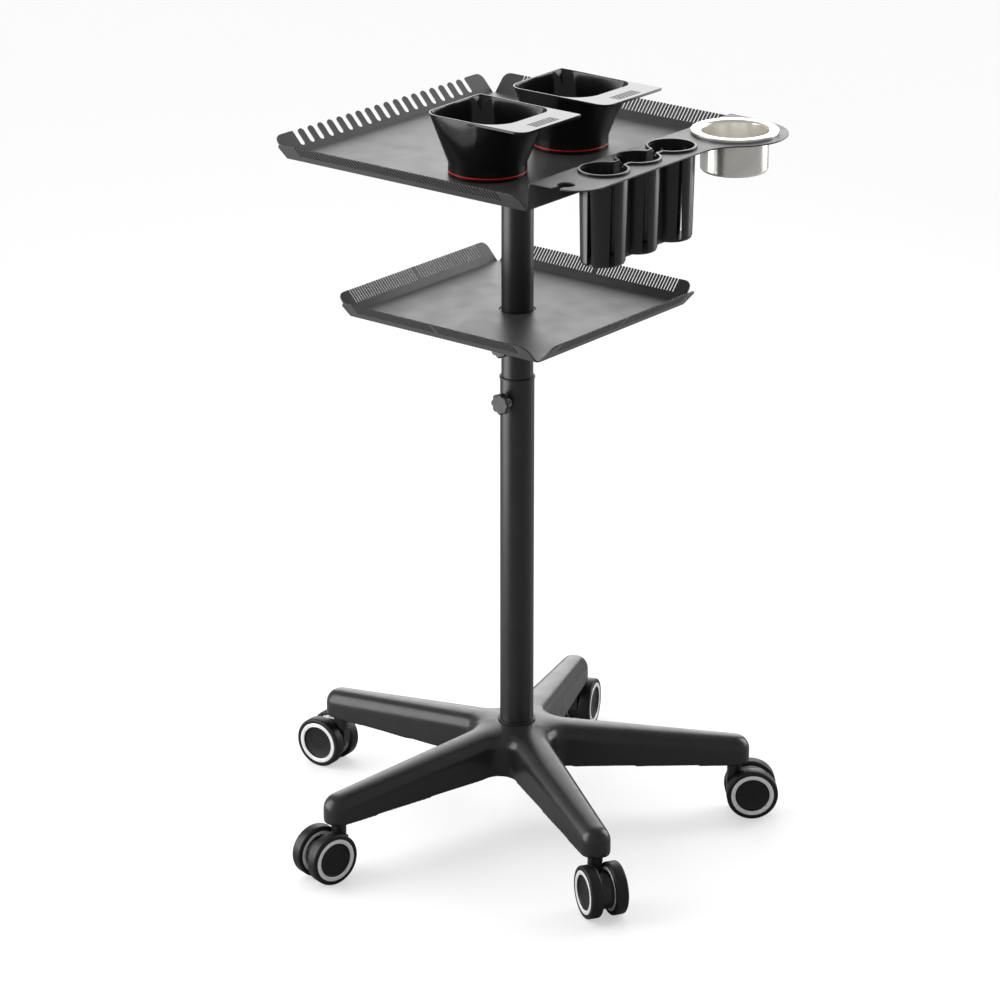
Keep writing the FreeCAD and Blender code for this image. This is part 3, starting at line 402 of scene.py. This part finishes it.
def rgba(colour, factor=1.0):
    """A colour with full alpha, scaled."""
    return (*(min(c * factor, 1.0) for c in colour), 1.0)


def textured(n, shader, strength, depth, height, normal):
    """Presses a height into a shader's normal."""
    bump = n.add("ShaderNodeBump", {"Strength": strength, "Distance": depth, "Height": height,
                                    "Normal": normal})
    n.feed(shader.inputs["Normal"], bump.outputs["Normal"])


def coated(name, colour, roughness, wear, depth=0.00003):
    """Powder-coated metal: grain, mottled gloss, softened and slightly worn edges, a trace of dust."""
    material, n, shader = finish(name)
    texture = n.place(coat_grain(), Size=0.0006)
    edges = n.place(soft_edge(), Radius=0.0006)
    dust = n.place(settled_dust()).outputs["Dust"]
    tone = n.mix(texture.outputs["Mottle"], rgba(colour, 0.86), rgba(colour, 1.16))
    tone = n.mix(n.maths("MULTIPLY", edges.outputs["Edge"], wear), tone, rgba(colour, 3.2))
    tone = n.mix(n.maths("MULTIPLY", dust, 0.035), tone, (0.42, 0.41, 0.39, 1))
    n.feed(shader.inputs["Base Color"], tone)
    gloss = n.remap(texture.outputs["Mottle"], 0.3, 0.7, roughness - 0.035, roughness + 0.035)
    n.feed(shader.inputs["Roughness"], n.maths("ADD", gloss, n.maths("MULTIPLY", dust, 0.05)))
    textured(n, shader, 0.55, depth, texture.outputs["Height"], edges.outputs["Normal"])
    return material


def moulded(name, colour, roughness, smudge=0.1, grain=0.0009, depth=0.00001, edge=0.0004, specular=0.5):
    """Moulded plastic: soft edges, a hint of texture, smudges in its gloss."""
    material, n, shader = finish(name, Specular_IOR_Level=specular)
    texture = n.place(coat_grain(), Size=grain, Mottle_size=0.018)
    edges = n.place(soft_edge(), Radius=edge)
    marks = n.place(handling_marks()).outputs["Smudge"]
    tone = n.mix(texture.outputs["Mottle"], rgba(colour, 0.8), rgba(colour, 1.25))
    tone = n.mix(n.maths("MULTIPLY", edges.outputs["Edge"], 0.12), tone, rgba(colour, 4.0))
    n.feed(shader.inputs["Base Color"], tone)
    n.feed(shader.inputs["Roughness"], n.remap(marks, 0.0, 1.0, roughness, roughness + smudge))
    textured(n, shader, 0.5, depth, texture.outputs["Height"], edges.outputs["Normal"])
    return material


def metal(name, colour, roughness, lines=0.0, centre=(0, 0, 0), metallic=1.0):
    """Bare metal, or a silver finish where it's less metallic. Its gloss varies in fine rings about an
    upright axis at centre, and lines is how deep they are cut."""
    material, n, shader = finish(name, Metallic=metallic)
    marks = n.place(handling_marks(), Size=0.03).outputs["Smudge"]
    edges = n.place(soft_edge(), Radius=0.0004)
    n.feed(shader.inputs["Base Color"], n.mix(marks, rgba(colour), rgba(colour, 0.9)))
    place = n.vector("SUBTRACT", n.here(), centre).outputs[0]
    flat = n.vector("MULTIPLY", place, (1, 1, 0)).outputs[0]
    radius = n.vector("LENGTH", flat).outputs["Value"]
    height = n.add("ShaderNodeSeparateXYZ", {0: place}).outputs["Z"]
    rings = n.add("ShaderNodeCombineXYZ", {0: radius, 1: height, 2: 0.0}).outputs[0]
    streaks = n.noise(rings, 1600.0, Detail=4.0)
    rough = n.remap(streaks, 0.35, 0.65, roughness - 0.03, roughness + 0.05)
    n.feed(shader.inputs["Roughness"], n.maths("ADD", rough, n.maths("MULTIPLY", marks, 0.04)))
    textured(n, shader, lines, 0.00002, streaks, edges.outputs["Normal"])
    return material


def all_finishes(f):
    """Every finish by the slot that it's for."""
    bowl = middle_of("steel_bowl")
    return {
        "tray_coat": coated("Tray coat", f.tray_coat, f.tray_roughness, f.edge_wear),
        "tube_coat": coated("Tube coat", f.tube_coat, f.tube_roughness, f.edge_wear, depth=0.00002),
        "base_nylon": moulded("Base nylon", f.base_nylon, f.base_roughness, smudge=0.06, grain=0.0008,
                              depth=0.00003, edge=0.0016, specular=0.45),
        "black_plastic": moulded("Black plastic", f.moulding, 0.42),
        "castor_plastic": moulded("Castor plastic", f.moulding, 0.34, edge=0.0008),
        "knob_plastic": moulded("Knob plastic", f.knob, 0.40, grain=0.0012, depth=0.00002),
        "holder_plastic": moulded("Holder plastic", f.moulding, 0.29, smudge=0.015, depth=0.000002, edge=0.0),
        "castor_wheel": moulded("Tread", f.tread, 0.40, smudge=0.12, grain=0.0015, depth=0.00002,
                                specular=0.38),
        "tint_bowl_plastic": moulded("Tint bowl gloss", f.tint_bowl, 0.15, smudge=0.03, depth=0.000002,
                                     edge=0.0002, specular=0.36),
        "red_band": moulded("Band", f.band, 0.30, smudge=0.05),
        "soft_pad": moulded("Soft pad", f.tread, 0.7),
        "bright_steel": metal("Zinc-plated steel", f.zinc, 0.34),
        "castor_trim": metal("Silver trim", f.trim, 0.28, metallic=0.3),
        "bowl_steel": metal("Spun stainless", f.steel, 0.20, lines=0.06, centre=tuple(bowl), metallic=0.72),
    }


def wear(obj, slot):
    """Gives a new piece a slot's finish."""
    obj.data.materials.clear()
    obj.data.materials.append(bpy.data.materials[FINISH_NAMES[slot]])


FINISH_NAMES = {}


class TROLLEY_OT_finishes(bpy.types.Operator):
    """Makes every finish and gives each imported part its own"""
    bl_idname = "trolley.finishes"
    bl_label = "Finishes"

    def execute(self, context):
        for slot, material in all_finishes(context.scene.trolley_finishes).items():
            FINISH_NAMES[slot] = material.name
        for node, obj in frame["nodes"].items():
            for place in obj.material_slots:
                place.material = bpy.data.materials[FINISH_NAMES[SLOT_OF[node]]]
        return {"FINISHED"}


# ------------------------------------------------------------------ base
class TROLLEY_OT_base(bpy.types.Operator):
    """Makes the base's skin, with softly crowned arms"""
    bl_idname = "trolley.base"
    bl_label = "Base"
    grid: length("Grid", 0.0018, "Size of the skin's facets")
    crown: length("Crown", 0.0042, "How much lower an arm's top is at its edges than along its middle")
    root: length("Root half width", 0.0235, "Half an arm's width at the hub")
    tip: length("Tip half width", 0.017, "Half an arm's width at the castor")
    hub: length("Hub radius", 0.034, "Where the arms start")

    def lowered(self, spot, arms, low):
        """How far a point on the skin drops to crown the arms, less near the hub and low on the sides."""
        arm = max(arms, key=spot.xy.dot)
        reach, unit = arm.length, arm.normalized()
        along = spot.xy.dot(unit)
        out = (along - self.hub) / (reach - self.hub)
        half = self.root + (self.tip - self.root) * clamped(out)
        off = math.hypot((spot.xy - unit * along).length, max(0.0, along - reach)) / half
        from_hub = clamped((along - 24 * MM) / (30 * MM))
        up_side = clamped((spot.z - low - 8 * MM) / (12 * MM))
        return self.crown * clamped(off) ** 2 * from_hub * up_side

    def execute(self, context):
        axis = column_axis()
        stems = [Vector(JOINTS[name]["pos_m"]) for name in sorted(JOINTS) if name.endswith("_swivel")]
        arms = [(stem - axis).xy for stem in stems]
        blank = new_object("Base blank", frame["nodes"]["base_star"].data.copy())
        even = blank.modifiers.new("Even skin", "REMESH")
        even.mode, even.voxel_size = "VOXEL", self.grid
        soft = blank.modifiers.new("Soft edges", "SMOOTH")
        soft.factor, soft.iterations = 0.5, 4
        skin = applied(blank)
        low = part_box("base_star")[0].z
        for v in skin.vertices:
            v.co.z -= self.lowered(v.co - axis, arms, low)
        piece = new_object("shown_base_star", skin, 60)
        wear(piece, SLOT_OF["base_star"])
        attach(piece, "base")
        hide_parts("base_star")
        return {"FINISHED"}


# ------------------------------------------------------------------ castors
def wheel_profile(radius, width, s):
    """Half a castor wheel from its inner to its outer face: seats for the trim, tread, dished outer face."""
    seat = radius - s.tread_depth
    back, front = seat - s.trim_back_width, seat - s.trim_width
    sunk = 1.5 * MM
    return [(0, 0, 0), (back, 0, 0.4 * MM), (back, sunk, 0), (seat, sunk, 0), (seat, 0, 0.25 * MM),
            (radius, 0, s.tyre_edge), (radius, width, s.tyre_edge),
            (seat, width, 0.25 * MM), (seat, width - sunk, 0), (front, width - sunk, 0),
            (front, width - 0.4 * MM, 0.3 * MM), (front - 1.3 * MM, width - 2.4 * MM, 1.2 * MM),
            (front * 0.5, width - 3.6 * MM, 6 * MM), (0, width - 3.8 * MM, 0)]


def trim_ring(outer, ring_width, face, inward):
    """Half a silver ring from its inner to its outer edge, with a fine groove near the inner edge. inward is
    1 where the wheel lies below the ring's face and -1 where it lies above."""
    inner = outer - ring_width
    groove = inner + 1.2 * MM
    hidden, cut = face - inward * 1.4 * MM, face - inward * 0.8 * MM
    return [(inner, hidden, 0), (inner, face - inward * 0.25 * MM, 0.3 * MM),
            (groove - 0.15 * MM, face, 0.15 * MM), (groove, cut, 0.1 * MM),
            (groove + 0.4 * MM, cut, 0.1 * MM), (groove + 0.55 * MM, face, 0.15 * MM),
            (outer - 0.1 * MM, face, 0.5 * MM), (outer - 0.1 * MM, hidden, 0)]


def trim_profile(radius, width, s):
    """Half the trim, closed: a broad ring on the outer face and a narrower one on the inner face."""
    outer, play = radius - s.tread_depth, 0.1 * MM
    front = trim_ring(outer, s.trim_width - play, width - play / 2, 1)
    back = trim_ring(outer, s.trim_back_width - play, play / 2, -1)
    return [*front, *reversed(back), front[0]]


class TROLLEY_OT_castors(bpy.types.Operator):
    """Makes the castor wheels and their silver trim rings"""
    bl_idname = "trolley.castors"
    bl_label = "Castor wheels"

    def execute(self, context):
        sizes = context.scene.trolley_sizes
        low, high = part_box("castor_1_wheel_left")
        radius = (high.z - low.z) / 2
        names = sorted(n for n in frame["nodes"] if "_wheel_" in n)
        first = JOINTS[names[0] + "_spin"]
        axis, centre = Vector(first["axis"]), Vector(first["pos_m"])
        along = [(v.co - centre).dot(axis) for v in frame["nodes"][names[0]].data.vertices]
        inner, width = min(along), max(along) - min(along)
        wheel = turned_mesh("Castor wheel", wheel_profile(radius, width, sizes), sizes.segments)
        ring = turned_mesh("Castor trim", trim_profile(radius, width, sizes), sizes.segments)
        for name in names:
            joint = JOINTS[name + "_spin"]
            outward = Vector(joint["axis"]) * (1 if name.endswith("left") else -1)
            place = on_axis(Vector(joint["pos_m"]) + outward * inner, outward)
            rim = name.replace("wheel", "rim")
            for mesh, node in ((wheel, name), (ring, rim)):
                piece = new_object("shown_" + node, mesh)
                wear(piece, SLOT_OF[node])
                piece.matrix_world = place
                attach(piece, joint["child"])
                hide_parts(node)
        return {"FINISHED"}


# ------------------------------------------------------------------ clamp knobs
class TROLLEY_OT_knobs(bpy.types.Operator):
    """Makes the two lobed clamp knobs"""
    bl_idname = "trolley.knobs"
    bl_label = "Clamp knobs"
    lobes: IntProperty(name="Lobes", default=8, min=3, description="Lobes round a knob")
    flute: length("Flute depth", 0.0018, "Depth of the hollows between the lobes")
    fullness: FloatProperty(name="Fullness", default=1.12, min=0.8, max=1.2,
                            description="Rim against the plain knob's")

    def execute(self, context):
        low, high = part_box("column_clamp_knob")
        radius, reach = self.fullness * (high.z - low.z) / 2, high.y - low.y
        neck, neck_length = 0.5 * radius, 2.2 * MM
        skirt = 0.36 * (reach - neck_length)

        def lobed(angle, r):
            """Hollows between the lobes, only out at the rim."""
            wave = 0.5 - 0.5 * math.cos(self.lobes * angle)
            depth = self.flute * max(0.0, (r - 0.62 * radius) / (0.38 * radius))
            return r - depth * wave ** 2.2

        step = neck_length + skirt
        profile = [(0, 0, 0), (neck, 0, 0.3 * MM), (neck, neck_length, 0.2 * MM),
                   (radius * 0.93, neck_length, 0.5 * MM), (radius * 0.955, step, 0.5 * MM),
                   (radius, step + 0.5 * MM, 0.4 * MM), (radius, reach - 1.3 * MM, 0.5 * MM),
                   (radius * 0.88, reach, 0.6 * MM), (radius * 0.5, reach - 0.15 * MM, 0),
                   (0, reach - 0.25 * MM, 0)]
        mesh = turned_mesh("Clamp knob", profile, 16 * self.lobes, lobed)
        for node, body in (("column_clamp_knob", "column_clamp"), ("tray_clamp_knob", "tray_clamp")):
            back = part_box(node)[1].y
            centre = middle_of(node)
            knob = new_object("shown_" + node, mesh)
            wear(knob, SLOT_OF[node])
            knob.matrix_world = on_axis(Vector((centre.x, back, centre.z)), (0, -1, 0))
            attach(knob, body)
            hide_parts(node)
        return {"FINISHED"}


# ------------------------------------------------------------------ steel bowl
class TROLLEY_OT_steel_bowl(bpy.types.Operator):
    """Makes the spun steel bowl with its rounded mouth, flat rim and rolled edge"""
    bl_idname = "trolley.steel_bowl"
    bl_label = "Steel bowl"
    wall: length("Wall", 0.0008, "Thickness of the sheet")
    body: length("Body radius", 0.0372, "Outside of the straight wall")
    mouth: length("Mouth rounding", 0.0038, "Radius between the wall and the flat rim")
    foot: length("Foot rounding", 0.004, "Radius between the wall and the bottom")
    roll: length("Rolled edge", 0.0036, "Height of the turned-down edge")

    def execute(self, context):
        low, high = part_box("steel_bowl")
        centre = middle_of("steel_bowl")
        edge, depth, w, body = (high.x - low.x) / 2, high.z - low.z, self.wall, self.body
        curl = depth - self.roll
        profile = [(0, w, 0), (body - w, w, self.foot - w), (body - w, depth, self.mouth),
                   (edge, depth, 1.1 * MM), (edge, curl, 0.5 * MM), (edge - 1.1 * MM, curl, 0.5 * MM),
                   (edge - 1.1 * MM, depth - 1.4 * MM, 0.5 * MM), (body, depth - w, self.mouth - w),
                   (body, 0, self.foot), (0, 0, 0)]
        facets = 2 * context.scene.trolley_sizes.segments
        bowl = new_object("shown_steel_bowl", turned_mesh("Steel bowl", profile, facets))
        bowl.location = (centre.x, centre.y, low.z)
        wear(bowl, "bowl_steel")
        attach(bowl, "steel_bowl")
        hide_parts("steel_bowl")
        return {"FINISHED"}


# ------------------------------------------------------------------ tint bowls
CORNER_STEPS, SIDE_STEPS, WALL_STEPS, COVE_STEPS = 20, 12, 36, 6


def spout_reach(angle, radius, tip, share_out):
    """How far out the wall is at an angle off the corner's diagonal: the round corner, or the spout's vee
    where it stands proud. share_out runs from 0 at the spout's foot to 1 at the rim."""
    flat = radius * (math.sqrt(0.5) + (1 - math.sqrt(0.5)) * share_out)
    vee = flat / math.cos(math.pi / 4 - abs(angle))
    middle = (flat - tip) * math.sqrt(2)
    if abs(angle) < math.atan2(tip * math.sqrt(0.5), middle + tip * math.sqrt(0.5)):
        vee = middle * math.cos(angle) + math.sqrt(tip ** 2 - (middle * math.sin(angle)) ** 2)
    return max(radius, vee)


def mouth_outline(s, inset, share_out=1.0):
    """The mouth's outline, anticlockwise from the handle's front corner: corner arcs and sides in turn."""
    half, points = s.tint_mouth - inset, []
    corner, tip = s.tint_corner - inset, max(s.tint_spout - inset, 0.8 * MM)
    spots = ((1, -1, s.tint_wide_corner - inset), (1, 1, corner), (-1, 1, corner), (-1, -1, corner))
    arcs = []
    for k, (sx, sy, r) in enumerate(spots):
        spout = k == 2
        out = s.tint_spout_reach if spout else 0.0
        centre = Vector((sx * (half - r + out) + (s.tint_shift if sx > 0 else 0), sy * (half - r + out)))
        diagonal, arc = math.radians(-45 + 90 * k), []
        for i in range(CORNER_STEPS + 1):
            turn = math.radians(-45 + 90 * i / CORNER_STEPS)
            reach = spout_reach(turn, r, tip, share_out) if spout else r
            arc.append(centre + reach * Vector((math.cos(diagonal + turn), math.sin(diagonal + turn))))
        arcs.append(arc)
    for arc, following in zip(arcs, arcs[1:] + arcs[:1]):
        points += arc
        points += [arc[-1].lerp(following[0], i / SIDE_STEPS) for i in range(1, SIDE_STEPS)]
    return points


def foot_outline(radius):
    """A circle with a point for each point of the mouth's outline."""
    points, each = [], CORNER_STEPS + SIDE_STEPS
    for k in range(4):
        for i in range(each):
            turned = i / CORNER_STEPS if i <= CORNER_STEPS else 1 + (i - CORNER_STEPS) / SIDE_STEPS
            angle = math.radians(-67.5 + 90 * k + 45 * turned)
            points.append(Vector((radius * math.cos(angle), radius * math.sin(angle))))
    return points


def handle_outline(s, mouth, inset):
    """The top's outer outline: the mouth's own, pushed out to the handle's edge on the +X side."""
    last = 2 * CORNER_STEPS + SIDE_STEPS
    start, end, reach = mouth[0], mouth[last], s.handle_reach - inset
    path = filleted([(start.x, start.y, 0), (reach, start.y, s.handle_front_corner - inset),
                     (reach, end.y, s.handle_back_corner - inset), (end.x, end.y, 0)], steps=10)
    lengths = [0.0]
    for a, b in zip(path, path[1:]):
        lengths.append(lengths[-1] + (b - a).length)
    outer, pace = [], lengths[-1] / last
    for i in range(last + 1):
        wanted = lengths[-1] * i / last
        k = max(j for j in range(len(lengths)) if lengths[j] <= wanted + 1e-12)
        near = min(range(1, len(path) - 1), key=lambda j: abs(lengths[j] - wanted))
        if abs(lengths[near] - wanted) < pace * 0.5:
            outer.append(path[near])
        elif k == len(path) - 1:
            outer.append(path[-1])
        else:
            outer.append(path[k].lerp(path[k + 1], (wanted - lengths[k]) / (lengths[k + 1] - lengths[k])))
    return outer + mouth[last + 1:]


def tint_bowl_mesh(s, radius, height):
    """Round foot, flared square mouth with a spout, flat handle: one closed skin of rings."""
    outer_mouth, inner_mouth = mouth_outline(s, 0), mouth_outline(s, s.tint_wall)
    outer_foot, inner_foot = foot_outline(radius), foot_outline(radius - s.tint_wall)
    rim = handle_outline(s, outer_mouth, 0)
    waist, under = s.tint_waist, height - s.handle_thickness

    def ring(a, b, t, z, shrink=1.0):
        """Points between two outlines."""
        return [(*(p.lerp(q, t) * shrink), z) for p, q in zip(a, b)]

    def wall(foot, inset, z):
        """The wall's outline at a height, from the round foot to the mouth with its spout."""
        share_out = max(0.0, 1 - (height - z) / s.tint_spout_depth)
        return ring(foot, mouth_outline(s, inset, share_out), max(0.0, (z - waist) / (height - waist)), z)

    groove, band = 3.4 * MM, 1.6 * MM
    foot_rings = ((0.6 * MM, 0.90), (0, 0.925), (0, 0.982), (0.3 * MM, 0.994), (0.9 * MM, 1),
                  (groove, 1), (groove, 0.98), (groove + band, 0.98), (groove + band, 1), (waist * 0.8, 1))
    rows = [[(0, 0, 0.6 * MM)]] + [ring(outer_foot, outer_foot, 0, z, shrink) for z, shrink in foot_rings]
    for i in range(WALL_STEPS + 1):
        rows.append(wall(outer_foot, 0, waist + (under - waist) * i / WALL_STEPS))
    edge, last = 0.4 * MM, 2 * CORNER_STEPS + SIDE_STEPS
    eased = handle_outline(s, mouth_outline(s, edge), edge)
    for z, outline in ((under, eased), (under + edge, rim), (height - edge, rim)):
        rows.append([(*p, z) for p in outline[:last + 1]] + wall(outer_foot, 0, z)[last + 1:])
    rows.append([(*p, height) for p in eased])
    rows.append([(*p, height) for p in mouth_outline(s, s.tint_wall - edge)])
    rows.append([(*p, height - edge) for p in inner_mouth])
    for i in range(1, WALL_STEPS + 1):
        rows.append(wall(inner_foot, s.tint_wall, height + (waist - height) * i / WALL_STEPS))
    floor, cove = s.tint_floor, 3 * MM
    for i in range(COVE_STEPS + 1):
        angle = math.pi / 2 * i / COVE_STEPS
        z = floor + cove * (1 - math.sin(angle))
        rows.append(ring(inner_foot, inner_foot, 0, z, 1 - cove * (1 - math.cos(angle)) / radius))
    rows += [ring(inner_foot, inner_foot, 0, floor, 0.45), [(0, 0, floor)]]
    return grid_mesh("Tint bowl", rows)


def groove_cutter(x, top, depth):
    """A narrow cutter with round ends and slightly drafted walls, along Y."""
    half, mouth, root, sides = 19.5 * MM, 0.95 * MM, 0.75 * MM, 16
    turns = [math.tau * (k + 0.5) / sides for k in range(sides)]
    rows = []
    for r, z in ((root, top - depth), (mouth, top), (mouth, top + MM)):
        rows.append([(x + r * math.cos(a), math.copysign(half, math.sin(a)) + r * math.sin(a), z)
                     for a in turns])
    cutter = bpy.data.objects.new("Groove cutter", grid_mesh("Groove cutter", rows, True, True))
    bpy.context.scene.collection.objects.link(cutter)
    return cutter


def cut_grooves(obj, centre, top, grooves=4, pitch=3.6 * MM, depth=1.1 * MM):
    """Cuts grip grooves in the handle, side by side."""
    cutters = []
    for i in range(grooves):
        cutters.append(groove_cutter(centre + (i - (grooves - 1) / 2) * pitch, top, depth))
        cut = obj.modifiers.new("Groove", "BOOLEAN")
        cut.object, cut.operation, cut.solver = cutters[-1], "DIFFERENCE", "EXACT"
    made = applied(obj)
    for cutter in cutters:
        bpy.data.objects.remove(cutter)
    return made


class TROLLEY_OT_tint_bowls(bpy.types.Operator):
    """Makes the two spouted tint bowls and their coloured bands"""
    bl_idname = "trolley.tint_bowls"
    bl_label = "Tint bowls"
    grip_centre: length("Grip centre", 0.075, "Middle of the grip grooves from the bowl's axis")

    def execute(self, context):
        s = context.scene.trolley_sizes
        low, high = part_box("tint_bowl_1")
        band_low, band_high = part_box("tint_bowl_1_band")
        radius, height = (band_high.x - band_low.x) / 2 - 0.3 * MM, high.z - low.z
        plain = new_object("Tint bowl blank", tint_bowl_mesh(s, radius, height))
        mesh = cut_grooves(plain, self.grip_centre, height)
        bottom, top = band_low.z - low.z, band_high.z - low.z
        inside, outside, rounding = radius - 0.8 * MM, radius + 0.25 * MM, 0.45 * MM
        profile = [(inside, bottom, 0), (outside, bottom, rounding),
                   (outside, top, rounding), (inside, top, 0)]
        band_mesh = turned_mesh("Tint bowl band", profile, s.segments)
        for node in ("tint_bowl_1", "tint_bowl_2"):
            centre = middle_of(node + "_band")
            foot = (centre.x, centre.y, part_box(node)[0].z)
            for made, part in ((mesh, node), (band_mesh, node + "_band")):
                piece = new_object("shown_" + part, made, 32)
                piece.location = foot
                wear(piece, SLOT_OF[part])
                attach(piece, node)
                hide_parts(part)
        return {"FINISHED"}


# ------------------------------------------------------------------ stage
class TROLLEY_OT_stage(bpy.types.Operator):
    """Sets up the floor, the lights, the surround and the camera"""
    bl_idname = "trolley.stage"
    bl_label = "Studio"

    def execute(self, context):
        scene, s = context.scene, context.scene.trolley_stage
        self.floor(s)
        self.lights(scene, s)
        self.camera(scene, s)
        scene.view_settings.view_transform = "Standard"
        return {"FINISHED"}

    def ways(self, s):
        """The level directions away from the camera and to its right."""
        away = Vector((-math.sin(s.camera_azimuth), math.cos(s.camera_azimuth), 0))
        return away, Vector((math.cos(s.camera_azimuth), math.sin(s.camera_azimuth), 0))

    def floor(self, s):
        """A wide plain pale floor, dimmer where the trolley mirrors it."""
        corners = [(x * s.floor_reach, y * s.floor_reach, 0) for x, y in ((-1, -1), (1, -1), (1, 1), (-1, 1))]
        mesh = grid_mesh("Floor", [corners], cap_last=True)
        plane = new_object("Floor", mesh)
        material, n, shader = finish("Floor", Roughness=0.9, Specular_IOR_Level=0.0, Emission_Strength=1.0)
        seen = n.add("ShaderNodeLightPath").outputs["Is Camera Ray"]
        mirrored, shown = rgba((s.floor_reflected,) * 3), rgba(s.floor, 1 - s.floor_glow)
        n.feed(shader.inputs["Base Color"], n.mix(seen, mirrored, shown))
        n.feed(shader.inputs["Emission Color"], n.mix(seen, rgba((0, 0, 0)), rgba((s.floor_glow,) * 3)))
        mesh.materials.append(material)

    def lights(self, scene, s):
        """A soft light above, a low bright wall behind, a tall strip at each side and an even surround."""
        away, right = self.ways(s)
        up = Vector((0, 0, 1))
        for name, energy, spread, towards in (
                ("Overhead", s.overhead, 75, away * 0.55 - right * 0.3 + up),
                ("Backdrop", s.backdrop, 38, away + right * 0.05 + up * 0.32)):
            light = bpy.data.lights.new(name, "SUN")
            light.energy, light.angle = energy, math.radians(spread)
            sun = bpy.data.objects.new(name, light)
            sun.rotation_euler = towards.to_track_quat("Z", "Y").to_euler()
            sun.visible_glossy = name == "Backdrop"
            scene.collection.objects.link(sun)
        middle = column_axis() + up * 1.2
        for name, offset in (("Left strip", -right * 1.35 - away * 0.15 - up * 0.4),
                             ("Right strip", right * 1.7 + away * 0.9)):
            light = bpy.data.lights.new(name, "AREA")
            light.shape, light.energy = "RECTANGLE", s.side
            light.size, light.size_y = s.strip_width, s.strip_height
            lamp = bpy.data.objects.new(name, light)
            lamp.location = middle + offset
            lamp.rotation_euler = offset.to_track_quat("Z", "Y").to_euler()
            scene.collection.objects.link(lamp)
        scene.world = self.surround(s)

    def surround(self, s):
        """An even surround that dims towards the top."""
        world = bpy.data.worlds.new("Studio surround")
        world.use_nodes = True
        n = Nodes(world.node_tree)
        direction = n.add("ShaderNodeTexCoord").outputs["Generated"]
        height = n.add("ShaderNodeSeparateXYZ", {0: direction}).outputs["Z"]
        background = world.node_tree.nodes["Background"]
        background.inputs["Strength"].default_value = s.sky
        tone = n.mix(n.remap(height, 0.1, 0.9), rgba((1, 1, 1)), rgba((s.sky_top,) * 3))
        n.feed(background.inputs["Color"], tone)
        return world

    def camera(self, scene, s):
        """The camera, looking down past the shelf side."""
        away, right = self.ways(s)
        back = -away * math.cos(s.camera_elevation)
        back.z = math.sin(s.camera_elevation)
        target = column_axis() - right * s.aim_left + Vector((0, 0, s.aim_height))
        data = bpy.data.cameras.new("Camera")
        data.lens, data.sensor_width = s.lens, 36.0
        camera = bpy.data.objects.new("Camera", data)
        camera.location = target + back * s.camera_distance
        camera.rotation_euler = back.to_track_quat("Z", "Y").to_euler()
        scene.collection.objects.link(camera)
        scene.camera = camera


# ------------------------------------------------------------------ panel and start
class TROLLEY_PT_panel(bpy.types.Panel):
    """Lists the trolley's pieces and settings"""
    bl_idname = "TROLLEY_PT_panel"
    bl_label = "Salon Trolley"
    bl_space_type = "VIEW_3D"
    bl_region_type = "UI"
    bl_category = "Trolley"

    def draw(self, context):
        for operator in STEPS:
            self.layout.operator(operator.bl_idname)
        for kind in SETTINGS:
            group, box = getattr(context.scene, kind), self.layout.box()
            for name in group.__annotations__:
                box.prop(group, name)


STEPS = (TROLLEY_OT_finishes, TROLLEY_OT_base, TROLLEY_OT_castors, TROLLEY_OT_knobs, TROLLEY_OT_steel_bowl,
         TROLLEY_OT_tint_bowls, TROLLEY_OT_stage)
SETTINGS = {"trolley_finishes": TrolleyFinishes, "trolley_sizes": TrolleySizes, "trolley_stage": TrolleyStage}


def register():
    """Registers the settings, operators and panel."""
    for kind in (*SETTINGS.values(), *STEPS, TROLLEY_PT_panel):
        bpy.utils.register_class(kind)
    for name, kind in SETTINGS.items():
        setattr(bpy.types.Scene, name, PointerProperty(type=kind))


def unregister():
    """Takes the settings, operators and panel away again."""
    for name in SETTINGS:
        delattr(bpy.types.Scene, name)
    for kind in reversed((*SETTINGS.values(), *STEPS, TROLLEY_PT_panel)):
        bpy.utils.unregister_class(kind)


def main():
    """Builds everything in order."""
    register()
    for operator in STEPS:
        group, name = operator.bl_idname.split(".")
        getattr(getattr(bpy.ops, group), name)()


if __name__ == "__main__":
    main()
